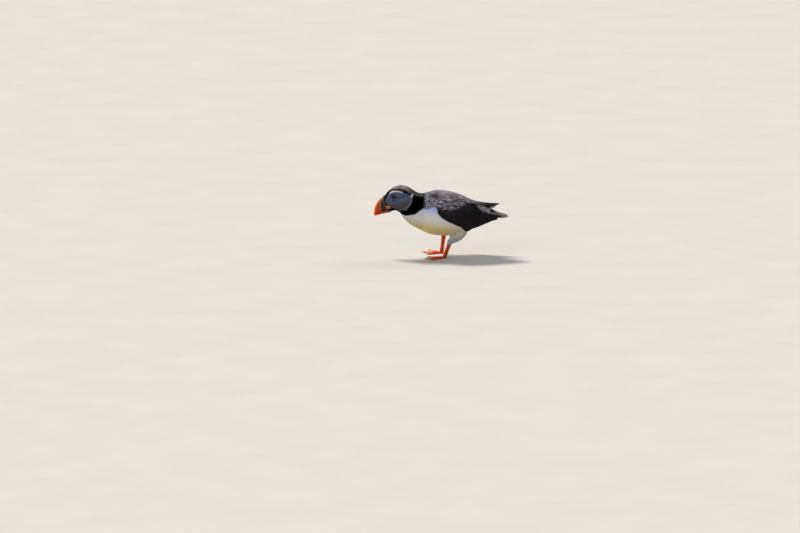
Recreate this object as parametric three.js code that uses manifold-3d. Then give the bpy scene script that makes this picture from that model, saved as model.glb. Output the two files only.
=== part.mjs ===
// Atlantic puffin: a still, life-size model of an adult in summer plumage, standing on both feet with its body level
// and its head held low and forward. Millimetres, +Z up, the bill towards -Y and the bird's left side towards +X.
import * as THREE from "three";
import { mergeVertices } from "three/addons/utils/BufferGeometryUtils.js";
import Module from "manifold-3d";

const wasm = await Module();
wasm.setup();

// Driving dimensions.
const GAP = 0.3; // clearance between neighbouring pieces
const FLESH_AROUND = 24; // facets round the body
const FLESH_STEPS = 2; // rings between two stations of the body
const SECTION_POWER = 2.15; // 2 is an ellipse, more is squarer
const EYE = { x: 14.2, y: -87, z: 121.6, radius: 5.2 };
const BILL_HALF = { base: 8.6, tip: 1.5 }; // half-widths
const BILL_ARC = { y: -84.1, z: 100.8, radius: 30.1 }; // where the slate base plate meets the red sheath
const CERE_WIDTH = 2.2;
const ROSETTE = { x: 11, y: -98, z: 101.5, radii: [3.4, 5, 3.6] };
const TAIL = { root: 84, tip: 124.5, rootZ: 107.4, tipZ: 106, rootHalf: 11, tipHalf: 15.5, thick: 2.4, arch: 1.2 };
const TARSUS = { front: 3.9, side: 2.4 }; // half-widths along Y and across
const TOE_RADIUS = 2.3;
const WEB_THICK = 1.3;
const KNUCKLE_RADIUS = 4;
const CLAW = { length: 6.2, radius: 1.15 };
const LEGS = {
  left: { side: 1, x: 26, ankle: [24.5, 32.5], knuckleY: 13.5, turn: 0.28, spread: 0.45, stride: 17, calf: 5.8 },
  right: { side: -1, x: 25, ankle: [12.6, 38], knuckleY: 8.2, turn: 0.15, spread: 0.62, stride: 8, calf: 1.4 },
};
const TOES = [
  { place: "inner", spread: 1, length: 30 },
  { place: "middle", spread: 0, length: 35 },
  { place: "outer", spread: -1, length: 33 },
];

// Cross-sections of the body from bill to tail: the point on the back line, the widest point on the flank and the
// point on the belly line.
const STATIONS = [
  { place: "bill base", back: [-106.5, 120.8], flank: [9.5, -105, 107], belly: [-96.5, 92] },
  { place: "lores", back: [-103, 127], flank: [14.5, -98, 107.5], belly: [-90.5, 91.8] },
  { place: "forehead", back: [-96, 134.8], flank: [18.3, -90, 109.5], belly: [-84.5, 92.5] },
  { place: "eye", back: [-86.5, 140.8], flank: [20.6, -80.5, 111], belly: [-79, 90.5] },
  { place: "crown", back: [-75, 144], flank: [22.2, -71, 111.5], belly: [-73.5, 86] },
  { place: "hind crown", back: [-63, 142.4], flank: [23, -60, 110], belly: [-69, 78] },
  { place: "nape", back: [-51, 135.8], flank: [25, -50, 105.5], belly: [-61.5, 69] },
  { place: "neck", back: [-41, 129], flank: [30, -39, 101], belly: [-49, 60.3] },
  { place: "neck root", back: [-31, 126.8], flank: [36.5, -28, 96], belly: [-34, 53] },
  { place: "shoulder", back: [-18, 130], flank: [42.5, -15, 92], belly: [-17.5, 45.6] },
  { place: "breast", back: [-3, 133.8], flank: [47, 1, 89], belly: [0, 42.6] },
  { place: "back", back: [14, 132.8], flank: [48.5, 18, 87], belly: [18, 42] },
  { place: "belly", back: [32, 129], flank: [47, 36, 87], belly: [36, 43.5] },
  { place: "loin", back: [50, 122.6], flank: [43, 52, 88.5], belly: [52, 49] },
  { place: "rump", back: [65, 115], flank: [36.5, 66, 92], belly: [67, 61] },
  { place: "tail coverts", back: [79, 110.4], flank: [28.5, 80, 97], belly: [81, 78] },
  { place: "tail root", back: [93, 108.6], flank: [18, 94, 102], belly: [98, 95.5] },
  { place: "undertail", back: [107, 104.3], flank: [11, 110, 102.6], belly: [115, 100.8] },
];

// --- solids ---

const toSolid = (geometry) => {
  const bare = new THREE.BufferGeometry();
  bare.setAttribute("position", geometry.getAttribute("position"));
  bare.setIndex(geometry.index);
  const merged = mergeVertices(bare, 1e-4);
  const build = (triVerts) =>
    new wasm.Manifold(
      new wasm.Mesh({ numProp: 3, vertProperties: merged.attributes.position.array, triVerts }),
    );
  const faces = new Uint32Array(merged.index.array);
  const solid = build(faces);
  return solid.volume() < 0 ? build(faces.slice().reverse()) : solid;
};

const toGeometry = (solid) => {
  const { vertProperties, triVerts } = solid.getMesh();
  const geometry = new THREE.BufferGeometry();
  geometry.setAttribute("position", new THREE.BufferAttribute(new Float32Array(vertProperties), 3));
  geometry.setIndex(new THREE.BufferAttribute(new Uint32Array(triVerts), 1));
  return geometry;
};

// The largest body of a cut, without the slivers beside it.
const largest = (solid) => solid.decompose().sort((a, b) => b.volume() - a.volume())[0];

const power = (value, exponent) => Math.sign(value) * Math.abs(value) ** exponent;

// A closed tube: place(along, angle, out) gives the point at 0..1 along it, at an angle round it, and at 0 (its
// axis) to 1 (its surface) outwards.
const tube = (around, rings, place) => {
  const geometry = new THREE.CylinderGeometry(1, 1, 1, around, rings);
  const spots = geometry.getAttribute("position");
  for (let i = 0; i < spots.count; i++) {
    const [x, y, z] = [spots.getX(i), spots.getY(i), spots.getZ(i)];
    const point = place(0.5 - y, Math.atan2(z, x), Math.min(1, Math.hypot(x, z)));
    spots.setXYZ(i, point.x, point.y, point.z);
  }
  return toSolid(geometry);
};

// A tube whose axis is a curve, with half-widths that depend on the distance along it.
const limb = (curve, around, rings, across, deep) =>
  tube(around, rings, (along, angle, out) => {
    const centre = curve.getPoint(along);
    const tangent = curve.getTangent(along);
    const sideways = new THREE.Vector3(1, 0, 0).addScaledVector(tangent, -tangent.x).normalize();
    const upright = new THREE.Vector3().crossVectors(tangent, sideways);
    return centre
      .addScaledVector(sideways, out * across(along) * Math.cos(angle))
      .addScaledVector(upright, out * deep(along) * Math.sin(angle));
  });

const ball = (x, y, z, radii, around = 24) =>
  toSolid(
    new THREE.SphereGeometry(1, around, around / 2).scale(...radii).translate(x, y, z),
  );

// A solid bounded by two sheets over one grid. sheet(u, v, side) gives a point, with side 0 inside and 1 outside.
const slab = (columns, rows, sheet) => {
  const geometry = new THREE.BoxGeometry(1, 1, 1, columns, rows, 1);
  const spots = geometry.getAttribute("position");
  for (let i = 0; i < spots.count; i++) {
    const point = sheet(spots.getX(i) + 0.5, spots.getY(i) + 0.5, spots.getZ(i) + 0.5);
    spots.setXYZ(i, point.x, point.y, point.z);
  }
  return toSolid(geometry);
};

// A smooth curve in the plane of symmetry, or in any plane along X, through [y, z] pairs.
const profile = (...pairs) => new THREE.CatmullRomCurve3(pairs.map(([y, z]) => new THREE.Vector3(0, y, z)));

// The height of a profile at a place along Y.
const heightAt = (curve, y) => {
  let [low, high] = [0, 1];
  for (let i = 0; i < 30; i++) {
    const middle = (low + high) / 2;
    if (curve.getPoint(middle).y < y) low = middle;
    else high = middle;
  }
  return curve.getPoint((low + high) / 2).z;
};

// --- body ---

const backLine = profile(...STATIONS.map((s) => s.back));
const bellyLine = profile(...STATIONS.map((s) => s.belly));
const flankLine = new THREE.CatmullRomCurve3(STATIONS.map((s) => new THREE.Vector3(...s.flank)));

const bodyPoint = (t, angle, out, grow) => {
  const flank = flankLine.getPoint(t);
  const rise = power(Math.sin(angle), 2 / SECTION_POWER);
  const edge = rise > 0 ? backLine.getPoint(t) : bellyLine.getPoint(t);
  const reach = Math.abs(rise);
  return new THREE.Vector3(
    out * (flank.x + grow) * power(Math.cos(angle), 2 / SECTION_POWER),
    flank.y + out * reach * (edge.y - flank.y),
    flank.z + out * (reach * (edge.z - flank.z) + grow * rise),
  );
};

const stationAt = (name) => STATIONS.findIndex((s) => s.place === name) / (STATIONS.length - 1);

// A length of the body between two places along it. grow makes it larger on all sides.
const flesh = (from, to, grow = 0) => {
  const rings = Math.max(2, Math.round((to - from) * (STATIONS.length - 1) * FLESH_STEPS));
  const extra = (grow / 12) * (1 / (STATIONS.length - 1));
  const [start, end] = [Math.max(0, from - extra), Math.min(1, to + extra)];
  return tube(FLESH_AROUND, rings, (along, angle, out) => {
    const point = bodyPoint(start + (end - start) * along, angle, out, grow);
    if (start === 0 && along === 0) point.y -= grow;
    return point;
  });
};

const CUT = GAP / 12 / (STATIONS.length - 1); // a gap of GAP where stations are 12 mm apart
const headEnd = stationAt("nape");
const neckEnd = stationAt("neck root");
const trunkEnd = stationAt("loin");
const wholeBody = (grow) => flesh(0, 1, grow);

// --- bill ---

const culmen = new THREE.CubicBezierCurve3(
  new THREE.Vector3(0, -99, 125.5),
  new THREE.Vector3(0, -117.5, 119.5),
  new THREE.Vector3(0, -129.8, 100),
  new THREE.Vector3(0, -126.6, 81),
);
const mouthLine = new THREE.QuadraticBezierCurve3(
  new THREE.Vector3(0, -89, 101),
  new THREE.Vector3(0, -108, 96),
  new THREE.Vector3(0, -125, 83.5),
);
const jawLine = new THREE.QuadraticBezierCurve3(
  new THREE.Vector3(0, -89, 89),
  new THREE.Vector3(0, -108, 86.5),
  new THREE.Vector3(0, -124.8, 81.6),
);
const WIDEST = 0.22; // how far from the mouth line each half of the bill is widest

// One half of the bill between the mouth line and an edge line, wedge-shaped towards the edge.
const billHalf = (edgeLine, lift, grow, wide) =>
  tube(12, 11, (along, angle, out) => {
    const mouth = mouthLine.getPoint(along).add(new THREE.Vector3(0, 0, lift));
    const edge = edgeLine.getPoint(along);
    const half = THREE.MathUtils.lerp(BILL_HALF.base, BILL_HALF.tip, along ** 1.15) * wide + grow;
    const rise = out * Math.sin(angle);
    const share = rise < 0 ? WIDEST * (1 + rise) : WIDEST + (1 - WIDEST) * rise;
    const narrow = 1 - 0.45 * Math.max(0, rise) ** 2;
    const outwards = edge.clone().sub(mouth).normalize();
    const point = mouth.lerp(edge, share);
    point.x = out * half * narrow * power(Math.cos(angle), 0.8);
    return point.addScaledVector(outwards, grow * rise);
  });

const arcDisc = (radius) =>
  toSolid(
    new THREE.CylinderGeometry(radius, radius, 60, 40).rotateZ(Math.PI / 2).translate(0, BILL_ARC.y, BILL_ARC.z),
  );

// --- wings ---

const WINGS = { left: { side: 1, droop: 0 }, right: { side: -1, droop: 11.5 } }; // how much lower the tip hangs
const wingLow = profile([-6, 111], [-3, 104], [2, 94.5], [9, 87], [20, 80], [34, 74], [46, 70], [53, 66], [57, 54.5],
  [60, 54], [64, 60.5], [74, 63.5], [90, 69.5], [106, 76], [120, 79.5], [134, 81], [142, 82.4], [150, 84]);
const wingTop = profile([-6, 112.5], [0, 118], [10, 124], [24, 126], [40, 122.5], [56, 115.5], [70, 109.5],
  [84, 105.5], [96, 102.8], [106, 99.4], [116, 94.8], [128, 90.6], [136, 88.9], [142, 86.6], [150, 86]);
const covertLine = profile([-10, 100], [8, 94], [24, 87], [44, 82], [60, 83], [76, 91], [90, 101], [104, 124],
  [150, 130]);
const handLine = profile([60, 20], [76, 62], [90, 80], [106, 94], [120, 110], [160, 130]);
const WING_TIP = 142;
const carrierHalf = profile([-10, 44.5], [2, 48.3], [19, 49.8], [36, 48.6], [52, 45.8], [66, 42], [80, 37.5],
  [100, 31.5], [120, 26], [150, 19]);
const CARRIER_MIDDLE = 88;
const CARRIER_CROWN = 3; // how far the wing's carrying surface passes over the back line
const CARRIER_DROP = 75; // how gently it turns in below

// A point on the surface that the wing lies on, at a place along Y and a height.
const carrier = (y, z, grow) => {
  const half = heightAt(carrierHalf, y);
  const crown = heightAt(backLine, Math.min(y, 91)) + CARRIER_CROWN - CARRIER_MIDDLE;
  const rise = THREE.MathUtils.clamp((z - CARRIER_MIDDLE) / (z > CARRIER_MIDDLE ? crown : CARRIER_DROP), -0.97, 0.97);
  const run = Math.sqrt(1 - rise * rise);
  return new THREE.Vector3((half + grow) * run, y, z + grow * rise);
};

// The whole folded wing, thickest near the wrist and thin at the feather tips.
const wingPanel = ({ side, droop }) =>
  slab(24, 5, (u, v, outer) => {
    const y = THREE.MathUtils.lerp(-5, WING_TIP, u);
    const bottom = heightAt(wingLow, y);
    const top = Math.max(heightAt(wingTop, y), bottom + 1);
    const swell = Math.sin(Math.PI * (0.04 + 0.92 * v)) ** 0.6 * (1 - u) ** 0.7 * Math.min(1, 0.3 + 6 * u);
    const point = carrier(y, THREE.MathUtils.lerp(bottom, top, v), outer ? 1.4 + 4 * swell : -0.6);
    return point.multiply(new THREE.Vector3(side, 1, 1)).add(new THREE.Vector3(0, 0, -droop * u));
  });

// Everything below a line of [y, z] places, for dividing the wing.
const below = (line, lift) => {
  const edge = line.getPoints(20);
  const outline = new THREE.Shape();
  outline.moveTo(edge[0].y, -200);
  edge.forEach((p) => outline.lineTo(p.y, p.z + lift));
  outline.lineTo(edge.at(-1).y, -200);
  const geometry = new THREE.ExtrudeGeometry(outline, { depth: 140, bevelEnabled: false });
  const yzToSide = new THREE.Matrix4().set(0, 0, 1, -70, 1, 0, 0, 0, 0, 1, 0, 0, 0, 0, 0, 1);
  return toSolid(geometry.applyMatrix4(yzToSide));
};

const wingParts = (wing, body) => {
  const whole = wingPanel(wing).subtract(body);
  const flight = whole.intersect(below(covertLine, 0));
  return {
    coverts: whole.subtract(below(covertLine, GAP)),
    secondaries: flight.subtract(below(handLine, GAP)),
    primaries: flight.intersect(below(handLine, 0)),
  };
};

// --- tail ---

// The fan of tail feathers, arched across and rounded at its end.
const tailFan = () =>
  slab(10, 6, (u, v, upper) => {
    const half = THREE.MathUtils.lerp(TAIL.rootHalf, TAIL.tipHalf, v ** 0.8);
    const across = 2 * u - 1;
    const reach = TAIL.tip - TAIL.root - 9 * across ** 2 * v;
    const z = THREE.MathUtils.lerp(TAIL.rootZ, TAIL.tipZ, v) - TAIL.arch * across ** 2;
    const thick = TAIL.thick * (1 - 0.55 * v) * (1 - 0.5 * across ** 2);
    return new THREE.Vector3(half * across, TAIL.root + reach * v, z + (upper - 0.5) * thick);
  });

// --- legs ---

const floorBlock = () => toSolid(new THREE.BoxGeometry(400, 400, 40).translate(0, 0, -20));

// The feathered thigh, from inside the belly down to the ankle. The calf fills it out behind.
const thighSolid = (heel, { side, stride, calf }) => {
  const hip = new THREE.Vector3(heel.x - 7 * side, heel.y + stride, 72);
  const knee = new THREE.Vector3(heel.x - 2 * side, heel.y + stride * 0.62 + calf, 53);
  const line = new THREE.CatmullRomCurve3([hip, knee, heel.clone().add(new THREE.Vector3(0, 0.5, -1))]);
  const half = (a) => THREE.MathUtils.lerp(16, 4.1, a ** 1.1);
  return limb(line, 14, 6, half, (a) => half(a) * 1.15 + calf * Math.sin(Math.PI * a ** 0.9));
};

// The bare tarsus, with a swelling at each joint.
const tarsusSolid = (heel, knuckle, grow) => {
  const swell = (a) => 1 + 0.28 * Math.exp(-(((a - 0.03) / 0.14) ** 2)) + 0.15 * Math.exp(-(((a - 0.9) / 0.1) ** 2));
  return limb(
    new THREE.LineCurve3(heel, knuckle), 9, 7,
    (a) => TARSUS.side * swell(a) + grow,
    (a) => TARSUS.front * swell(a) + grow,
  );
};

const toeTips = (knuckle, { side, turn, spread }) =>
  TOES.map((toe) => {
    const bearing = side * (toe.spread * spread - turn);
    return new THREE.Vector3(
      knuckle.x - toe.length * Math.sin(bearing), knuckle.y - toe.length * Math.cos(bearing), 1.2,
    );
  });

// Three toes with swollen joints, and the web between them with scalloped edges.
const footSolid = (knuckle, tips) => {
  let foot = ball(knuckle.x, knuckle.y, knuckle.z, [3.6, 4.4, KNUCKLE_RADIUS], 8);
  for (const tip of tips) {
    const line = new THREE.LineCurve3(knuckle.clone().setZ(1.9), tip);
    const half = (a) => TOE_RADIUS * (1 - 0.32 * a) * (1 + 0.1 * Math.cos(a * Math.PI * 4));
    foot = foot.add(limb(line, 7, 6, half, half));
  }
  const web = new THREE.Shape();
  web.moveTo(knuckle.x, knuckle.y);
  web.lineTo(tips[0].x, tips[0].y);
  for (const [from, to] of [[tips[0], tips[1]], [tips[1], tips[2]]]) {
    const sag = from.clone().add(to).multiplyScalar(0.5).lerp(knuckle, 0.2);
    web.quadraticCurveTo(sag.x, sag.y, to.x, to.y);
  }
  const sheet = new THREE.ExtrudeGeometry(web, { depth: WEB_THICK, bevelEnabled: false, curveSegments: 4 });
  return foot.add(toSolid(sheet));
};

const clawSolid = (tip, knuckle, grow) => {
  const ahead = tip.clone().sub(knuckle).setZ(0).normalize();
  const line = new THREE.QuadraticBezierCurve3(
    tip.clone().addScaledVector(ahead, -1.2).setZ(1.9),
    tip.clone().addScaledVector(ahead, CLAW.length * 0.55).setZ(3.1),
    tip.clone().addScaledVector(ahead, CLAW.length * 0.9).setZ(0.5),
  );
  const half = (a) => CLAW.radius * (1 - 0.86 * a ** 1.4) + grow;
  return limb(line, 6, 4, half, half);
};

const legParts = (leg, body) => {
  const x = leg.side * leg.x;
  const heel = new THREE.Vector3(x, ...leg.ankle);
  const knuckle = new THREE.Vector3(x, leg.knuckleY, KNUCKLE_RADIUS * 0.6);
  const tips = toeTips(knuckle, leg);
  const ground = floorBlock();
  const foot = tips
    .reduce((rest, tip) => rest.subtract(clawSolid(tip, knuckle, GAP)), footSolid(knuckle, tips))
    .subtract(tarsusSolid(heel, knuckle, GAP))
    .subtract(ground);
  return {
    thigh: largest(thighSolid(heel, leg).subtract(body).subtract(tarsusSolid(heel, knuckle, GAP))),
    tarsus: tarsusSolid(heel, knuckle, 0),
    foot: largest(foot),
    claws: tips.map((tip) => clawSolid(tip, knuckle, 0).subtract(ground)),
  };
};

// --- assembly ---

const bird = new THREE.Group();
bird.name = "atlantic_puffin";
const finish = (name, color, roughness) => {
  const material = new THREE.MeshStandardMaterial({ color, roughness, metalness: 0 });
  material.name = name;
  return material;
};
const blackPlumage = finish("black_plumage", 0x17161a, 0.8);
const whitePlumage = finish("white_plumage", 0xd9dad3, 0.85);
const redSheath = finish("bill_red", 0xe2420f, 0.4);
const slateHorn = finish("bill_slate", 0x3a3f52, 0.45);
const creamHorn = finish("bill_cream", 0xcdbd8a, 0.5);
const yellowSkin = finish("rosette", 0xe58a12, 0.6);
const orangeSkin = finish("leg_skin", 0xe0551a, 0.5);
const clawHorn = finish("claw", 0x1c1816, 0.4);
const eyeGlass = finish("eye", 0x1a0f0c, 0.08);
const lidRed = finish("eye_ring", 0xa83222, 0.5);

const put = (name, solid, material) => {
  const mesh = new THREE.Mesh(toGeometry(solid), material);
  mesh.name = name;
  bird.add(mesh);
};

const eyeBall = (side, grow) =>
  ball(side * EYE.x, EYE.y, EYE.z, [EYE.radius + grow, EYE.radius + grow, EYE.radius + grow], 14);

const SIDES = [["left", 1], ["right", -1]];
let head = flesh(0, headEnd - CUT / 2);
for (const [, side] of SIDES) head = head.subtract(eyeBall(side, GAP));
put("head", head, blackPlumage);
put("neck", flesh(headEnd + CUT / 2, neckEnd - CUT / 2), blackPlumage);
put("trunk", flesh(neckEnd + CUT / 2, trunkEnd - CUT / 2), whitePlumage);
put("rump", flesh(trunkEnd + CUT / 2, 1), blackPlumage);

const bodyClear = wholeBody(GAP);
const cereClear = wholeBody(GAP + CERE_WIDTH);
const hornClear = wholeBody(2 * GAP + CERE_WIDTH);
const billBlank = (grow) => billHalf(culmen, 0, grow, 1).add(billHalf(jawLine, 0, grow, 0.9));
put("bill_cere", largest(billBlank(0.7).intersect(cereClear).subtract(bodyClear)), creamHorn);
for (const [name, half] of [
  ["upper", billHalf(culmen, GAP / 2, 0, 1)],
  ["lower", billHalf(jawLine, -GAP / 2, 0, 0.86)],
]) {
  const horn = half.subtract(hornClear);
  put(`bill_${name}_base`, largest(horn.intersect(arcDisc(BILL_ARC.radius - GAP / 2))), slateHorn);
  put(`bill_${name}_sheath`, largest(horn.subtract(arcDisc(BILL_ARC.radius + GAP / 2))), redSheath);
}

for (const [name, side] of SIDES) {
  put(`eye_${name}`, eyeBall(side, 0), eyeGlass);
  const rosette = ball(side * ROSETTE.x, ROSETTE.y, ROSETTE.z, ROSETTE.radii, 10);
  put(`rosette_${name}`, largest(rosette.subtract(bodyClear).subtract(billBlank(0.7 + GAP))), yellowSkin);
  for (const [place, piece] of Object.entries(wingParts(WINGS[name], bodyClear))) {
    put(`wing_${name}_${place}`, largest(piece), blackPlumage);
  }
}
put("tail", largest(tailFan().subtract(bodyClear)), blackPlumage);

for (const [name, leg] of Object.entries(LEGS)) {
  const parts = legParts(leg, bodyClear);
  put(`thigh_${name}`, parts.thigh, whitePlumage);
  put(`tarsus_${name}`, parts.tarsus, orangeSkin);
  put(`foot_${name}`, parts.foot, orangeSkin);
  parts.claws.forEach((claw, i) => put(`claw_${name}_${TOES[i].place}`, claw, clawHorn));
}

// The origin is on the floor, under the middle of the bounding box.
const box = new THREE.Box3().setFromObject(bird, true);
bird.position.set(-(box.min.x + box.max.x) / 2, -(box.min.y + box.max.y) / 2, -box.min.z);

export default bird;
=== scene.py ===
"""An Atlantic puffin at life size, standing still with its head held low and forward.

The loaded frame gives the outline of every part. One skin is fused from the parts of flesh and lies
inside them by the depth of the plumage; a coat of small feathers fills that depth again. Flight feathers,
tail, bill, eyes and feet are pieces of their own. The bird looks along -Y and its left side is +X. Names
that end in _MM are millimetres; everything in a mesh is metres.
"""
import math

import bmesh
import bpy
import numpy as np
from mathutils import Matrix, Vector, noise
from mathutils.bvhtree import BVHTree


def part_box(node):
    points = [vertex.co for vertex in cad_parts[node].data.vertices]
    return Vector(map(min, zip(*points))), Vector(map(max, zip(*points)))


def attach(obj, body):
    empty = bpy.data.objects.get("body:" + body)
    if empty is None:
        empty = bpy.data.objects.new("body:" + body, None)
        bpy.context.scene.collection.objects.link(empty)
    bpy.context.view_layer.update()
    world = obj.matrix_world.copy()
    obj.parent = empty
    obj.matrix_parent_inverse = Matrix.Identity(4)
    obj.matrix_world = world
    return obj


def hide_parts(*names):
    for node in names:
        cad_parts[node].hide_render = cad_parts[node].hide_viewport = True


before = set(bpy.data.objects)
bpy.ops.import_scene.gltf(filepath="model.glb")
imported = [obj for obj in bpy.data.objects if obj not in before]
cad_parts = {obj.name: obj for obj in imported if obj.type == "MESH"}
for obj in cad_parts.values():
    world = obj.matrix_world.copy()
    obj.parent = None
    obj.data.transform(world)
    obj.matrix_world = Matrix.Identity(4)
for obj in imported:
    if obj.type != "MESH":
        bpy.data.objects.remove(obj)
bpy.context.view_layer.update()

MM = 0.001
SIDES = {"left": 1.0, "right": -1.0}

# ---- driving sizes: stage --------------------------------------------------------------------------------

# A long lens from the bird's left: degrees above level, metres away, and metres of view at the aim.
CAMERA = {"elevation": 11, "distance": 12.0, "view_width": 1.6, "sensor_mm": 36, "aim_mm": (0, -82.65, -21.8)}
# Broad lamps far away, so that the floor is lit evenly: where each stands, how many degrees wide it looks,
# its strength and its tint.
LAMPS = [
    ("key", (-0.55, -0.5, 1.0), 14, 3.0, "#fff5e8"),
    ("fill", (1.0, -0.6, 0.55), 50, 0.7, "#e6edff"),
    ("rim", (-0.9, 0.9, 0.8), 30, 0.6, "#fff5e8"),
]
SKY = {"tint": "#dfe5ee", "strength": 0.35}
FLOOR_HALF_WIDTH = 12

# ---- driving sizes: skin and plumage ---------------------------------------------------------------------

SKIN_VOXEL = 1.15 * MM
FLESH = [
    "head", "neck", "trunk", "rump", "thigh_left", "thigh_right", "wing_left_coverts", "wing_right_coverts",
]
# How far the skin lies under each part's outline, which is the depth of its plumage, and how long its
# feathers are.
PLUMAGE_MM = {
    "head": {"depth": 0.9, "feather": 3.8},
    "neck": {"depth": 1.2, "feather": 5.4},
    "trunk": {"depth": 1.5, "feather": 8.2},
    "rump": {"depth": 1.4, "feather": 9.0},
    "thigh_left": {"depth": 1.1, "feather": 5.6},
    "thigh_right": {"depth": 1.1, "feather": 5.6},
    "wing_left_coverts": {"depth": 0.9, "feather": 8.4},
    "wing_right_coverts": {"depth": 0.9, "feather": 8.4},
}
# The same for the pale face, the edge of the bill and the breast.
FACE_PLUMAGE_MM = {"depth": 0.45, "feather": 2.3}
BILL_EDGE_PLUMAGE_MM = {"depth": 0.35, "feather": 1.8}
BREAST_PLUMAGE_MM = {"depth": 1.0, "feather": 6.8}
# The skin lies this much deeper than the plumage, and is raised this much where it tucks under the bill.
SKIN_SINK_MM = 0.25
BILL_TUCK_MM = 1.5
# How far a feather reaches from its root, for the test of what lies over its tip.
TIP_REACH_MM = {"body": 6.5, "wing": 9.5}
# What covers a place or the tip of its feather: rays along its normal, from how far off it and how long, to
# the skin and to the bare parts; and how near a bare part may be to the tip of a feather on the wing.
SKIN_RAY_MM = (0.3, 2.0)
PART_RAY_MM = (-0.4, 2.2)
TIP_RAY_MM = (-1.5, 6)
TIP_GAP_MM = 2.2
# Feathers of each piece of the coat: their spacing, width as a share of length, and how far they turn aside.
COAT_FEATHERS = {
    "coat_face": {"spacing_mm": 0.42, "width": 0.25, "wander": 0.12},
    "coat_head": {"spacing_mm": 0.56, "width": 0.22, "wander": 0.14},
    "coat_neck": {"spacing_mm": 0.75, "width": 0.24, "wander": 0.14},
    "coat_breast": {"spacing_mm": 1.0, "width": 0.36, "wander": 0.14},
    "coat_belly": {"spacing_mm": 1.05, "width": 0.36, "wander": 0.14},
    "coat_back": {"spacing_mm": 1.6, "width": 0.52, "wander": 0.14},
    "coat_thigh_left": {"spacing_mm": 1.0, "width": 0.34, "wander": 0.14},
    "coat_thigh_right": {"spacing_mm": 1.0, "width": 0.34, "wander": 0.14},
    "coat_wing_left": {"spacing_mm": 1.7, "width": 0.6, "wander": 0.08},
    "coat_wing_right": {"spacing_mm": 1.7, "width": 0.6, "wander": 0.08},
}
FIRST_SEED = 11
# How much of a feather's shading follows the body under it, so that its edges hardly show.
EVENNESS = 0.8
# The side of one feather's patch in the coat's bake map.
BAKE_PATCH = 0.003

# The middle of the body from the gape to the tail, (y, z), with the neck's bend.
SPINE_MM = [
    (-118, 104), (-92, 114), (-70, 111), (-50, 100), (-28, 91), (0, 89), (40, 90), (75, 95), (112, 104),
]
# Feathers point away from the gape on the face, and along these directions on the thighs and the wings.
GAPE_MM = (0, -113, 106)
THIGH_LIE = (0, 0.25, -1.0)
WING_LIE = (0, 0.86, -0.42)

# Borders of the markings in side view, (y, z). Plumage is dark above the hood line.
HOOD_LINE_MM = [
    (-80.5, 40), (-80.2, 84), (-75, 85.6), (-68.9, 86.4), (-59.7, 89.1), (-50.5, 94.2), (-43.5, 101),
    (-39.3, 103.6), (-32.9, 103.4), (-24, 106), (-18, 108.2), (-14, 105), (-6, 96), (30, 86), (62, 80),
    (80, 86), (90, 91), (94.5, 97), (97, 103.4), (101, 105), (150, 105.4),
]
# The pale face patch.
FACE_LOOP_MM = [
    (-111.5, 116), (-109.2, 122.5), (-104.6, 128.6), (-98.6, 132.3), (-89, 133.5), (-79.1, 132.4),
    (-70, 129.9), (-63.6, 126.9), (-60.7, 124.2), (-61.2, 119), (-63.6, 111.9), (-68.2, 104), (-74.2, 97.8),
    (-79.5, 94.9), (-84.5, 94.2), (-90.5, 96.4), (-98, 100.2), (-106, 103), (-111.5, 108.5),
]
# The crown is brown above this line, up to the nape, and lighter on top with a painted highlight.
CROWN_LINE_MM = [
    (-118, 124), (-104, 132.5), (-95, 136.2), (-84, 137.2), (-74, 135.4), (-66, 131.6), (-57, 127.5),
    (-47, 124.5), (-36, 122),
]
# The dark furrow behind the eye.
CREASE_MM = [(-90.6, 119.6), (-86, 121.2), (-78.1, 124.2), (-70, 126.8), (-64.3, 128.2)]

# The wing is black under this line and has the mantle's colour over it.
SCAPULAR_LINE_MM = [
    (-16, 108.5), (0, 106), (10, 104.5), (20, 105.5), (28, 108), (37, 112), (48, 118), (60, 126),
]
# A shallow fold where the belly's feathers close under the breast's.
FOLD_MM = [(-44, 60.5), (-35, 64.3), (-20, 64.8), (-3, 65.4), (6, 67.3), (13.5, 70.6), (21, 76)]
# Soft places on the mantle where feather edges are more or less silver, partly from wear and partly a painted
# sheen of light: y, z, half sizes and share.
WORN_AND_SHEEN_MM = [
    (-35.5, 121, 2.5, 9, 0.8), (-27, 131, 6, 3, 0.5), (2, 134, 14, 3.2, 0.7), (-20, 126.5, 11, 3.2, -0.9),
    (-26, 116, 7, 4, 0.45), (-6, 112, 12, 5, 0.35), (24, 128, 20, 4, 0.2), (22, 112, 9, 5, -0.25),
    (62, 108, 16, 6, 0.15),
]

# Balls that close the skin: round each eyeball; at the hinge of the jaw; round the top of each shank, with
# the drop of the lower ball and the size of both; and under the tail, with y, z and radius.
EYE_SOCKET_MM = {"x": 13.6, "radius": 5.9}
CHIN_MM = {"across": (-2.2, 0, 2.2), "y": -99, "z": 93.4, "radius": 2.5}
CUFFS_MM = {"left": (4.0, 5.4), "right": (-1.6, 4.6)}
VENT_MM = [(90, 97.2, 7.5), (96, 98.7, 6.4), (101, 100.2, 5.2), (105.5, 101.5, 3.9), (108, 102.4, 2.8)]
# Balls in the notch between each wing's top and the back: the stretch of y, their radius and their depth.
WING_SEAM_MM = {"front": -6, "rear": 74, "step": 3.5, "radius": 3.6, "sunk": 3.2}

# ---- driving sizes: flight feathers ----------------------------------------------------------------------

# Where a vane has points across it, as shares of its half width, and how many rows along it.
VANE_COLUMNS = [-1.0, -0.62, -0.2, -0.05, 0.05, 0.2, 0.62, 1.0]
VANE_ROWS = 15
# A vane's thickness at its shaft, how far its edges curl down, and how high its shaft stands.
VANE_MM = {"thick": 0.28, "curl": 0.12, "shaft": 0.1}
VANE_WAVINESS = 0.09
# How strongly a vane that runs past the wing's outline is drawn back to it.
OUTLINE_HOLD = 0.75
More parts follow.
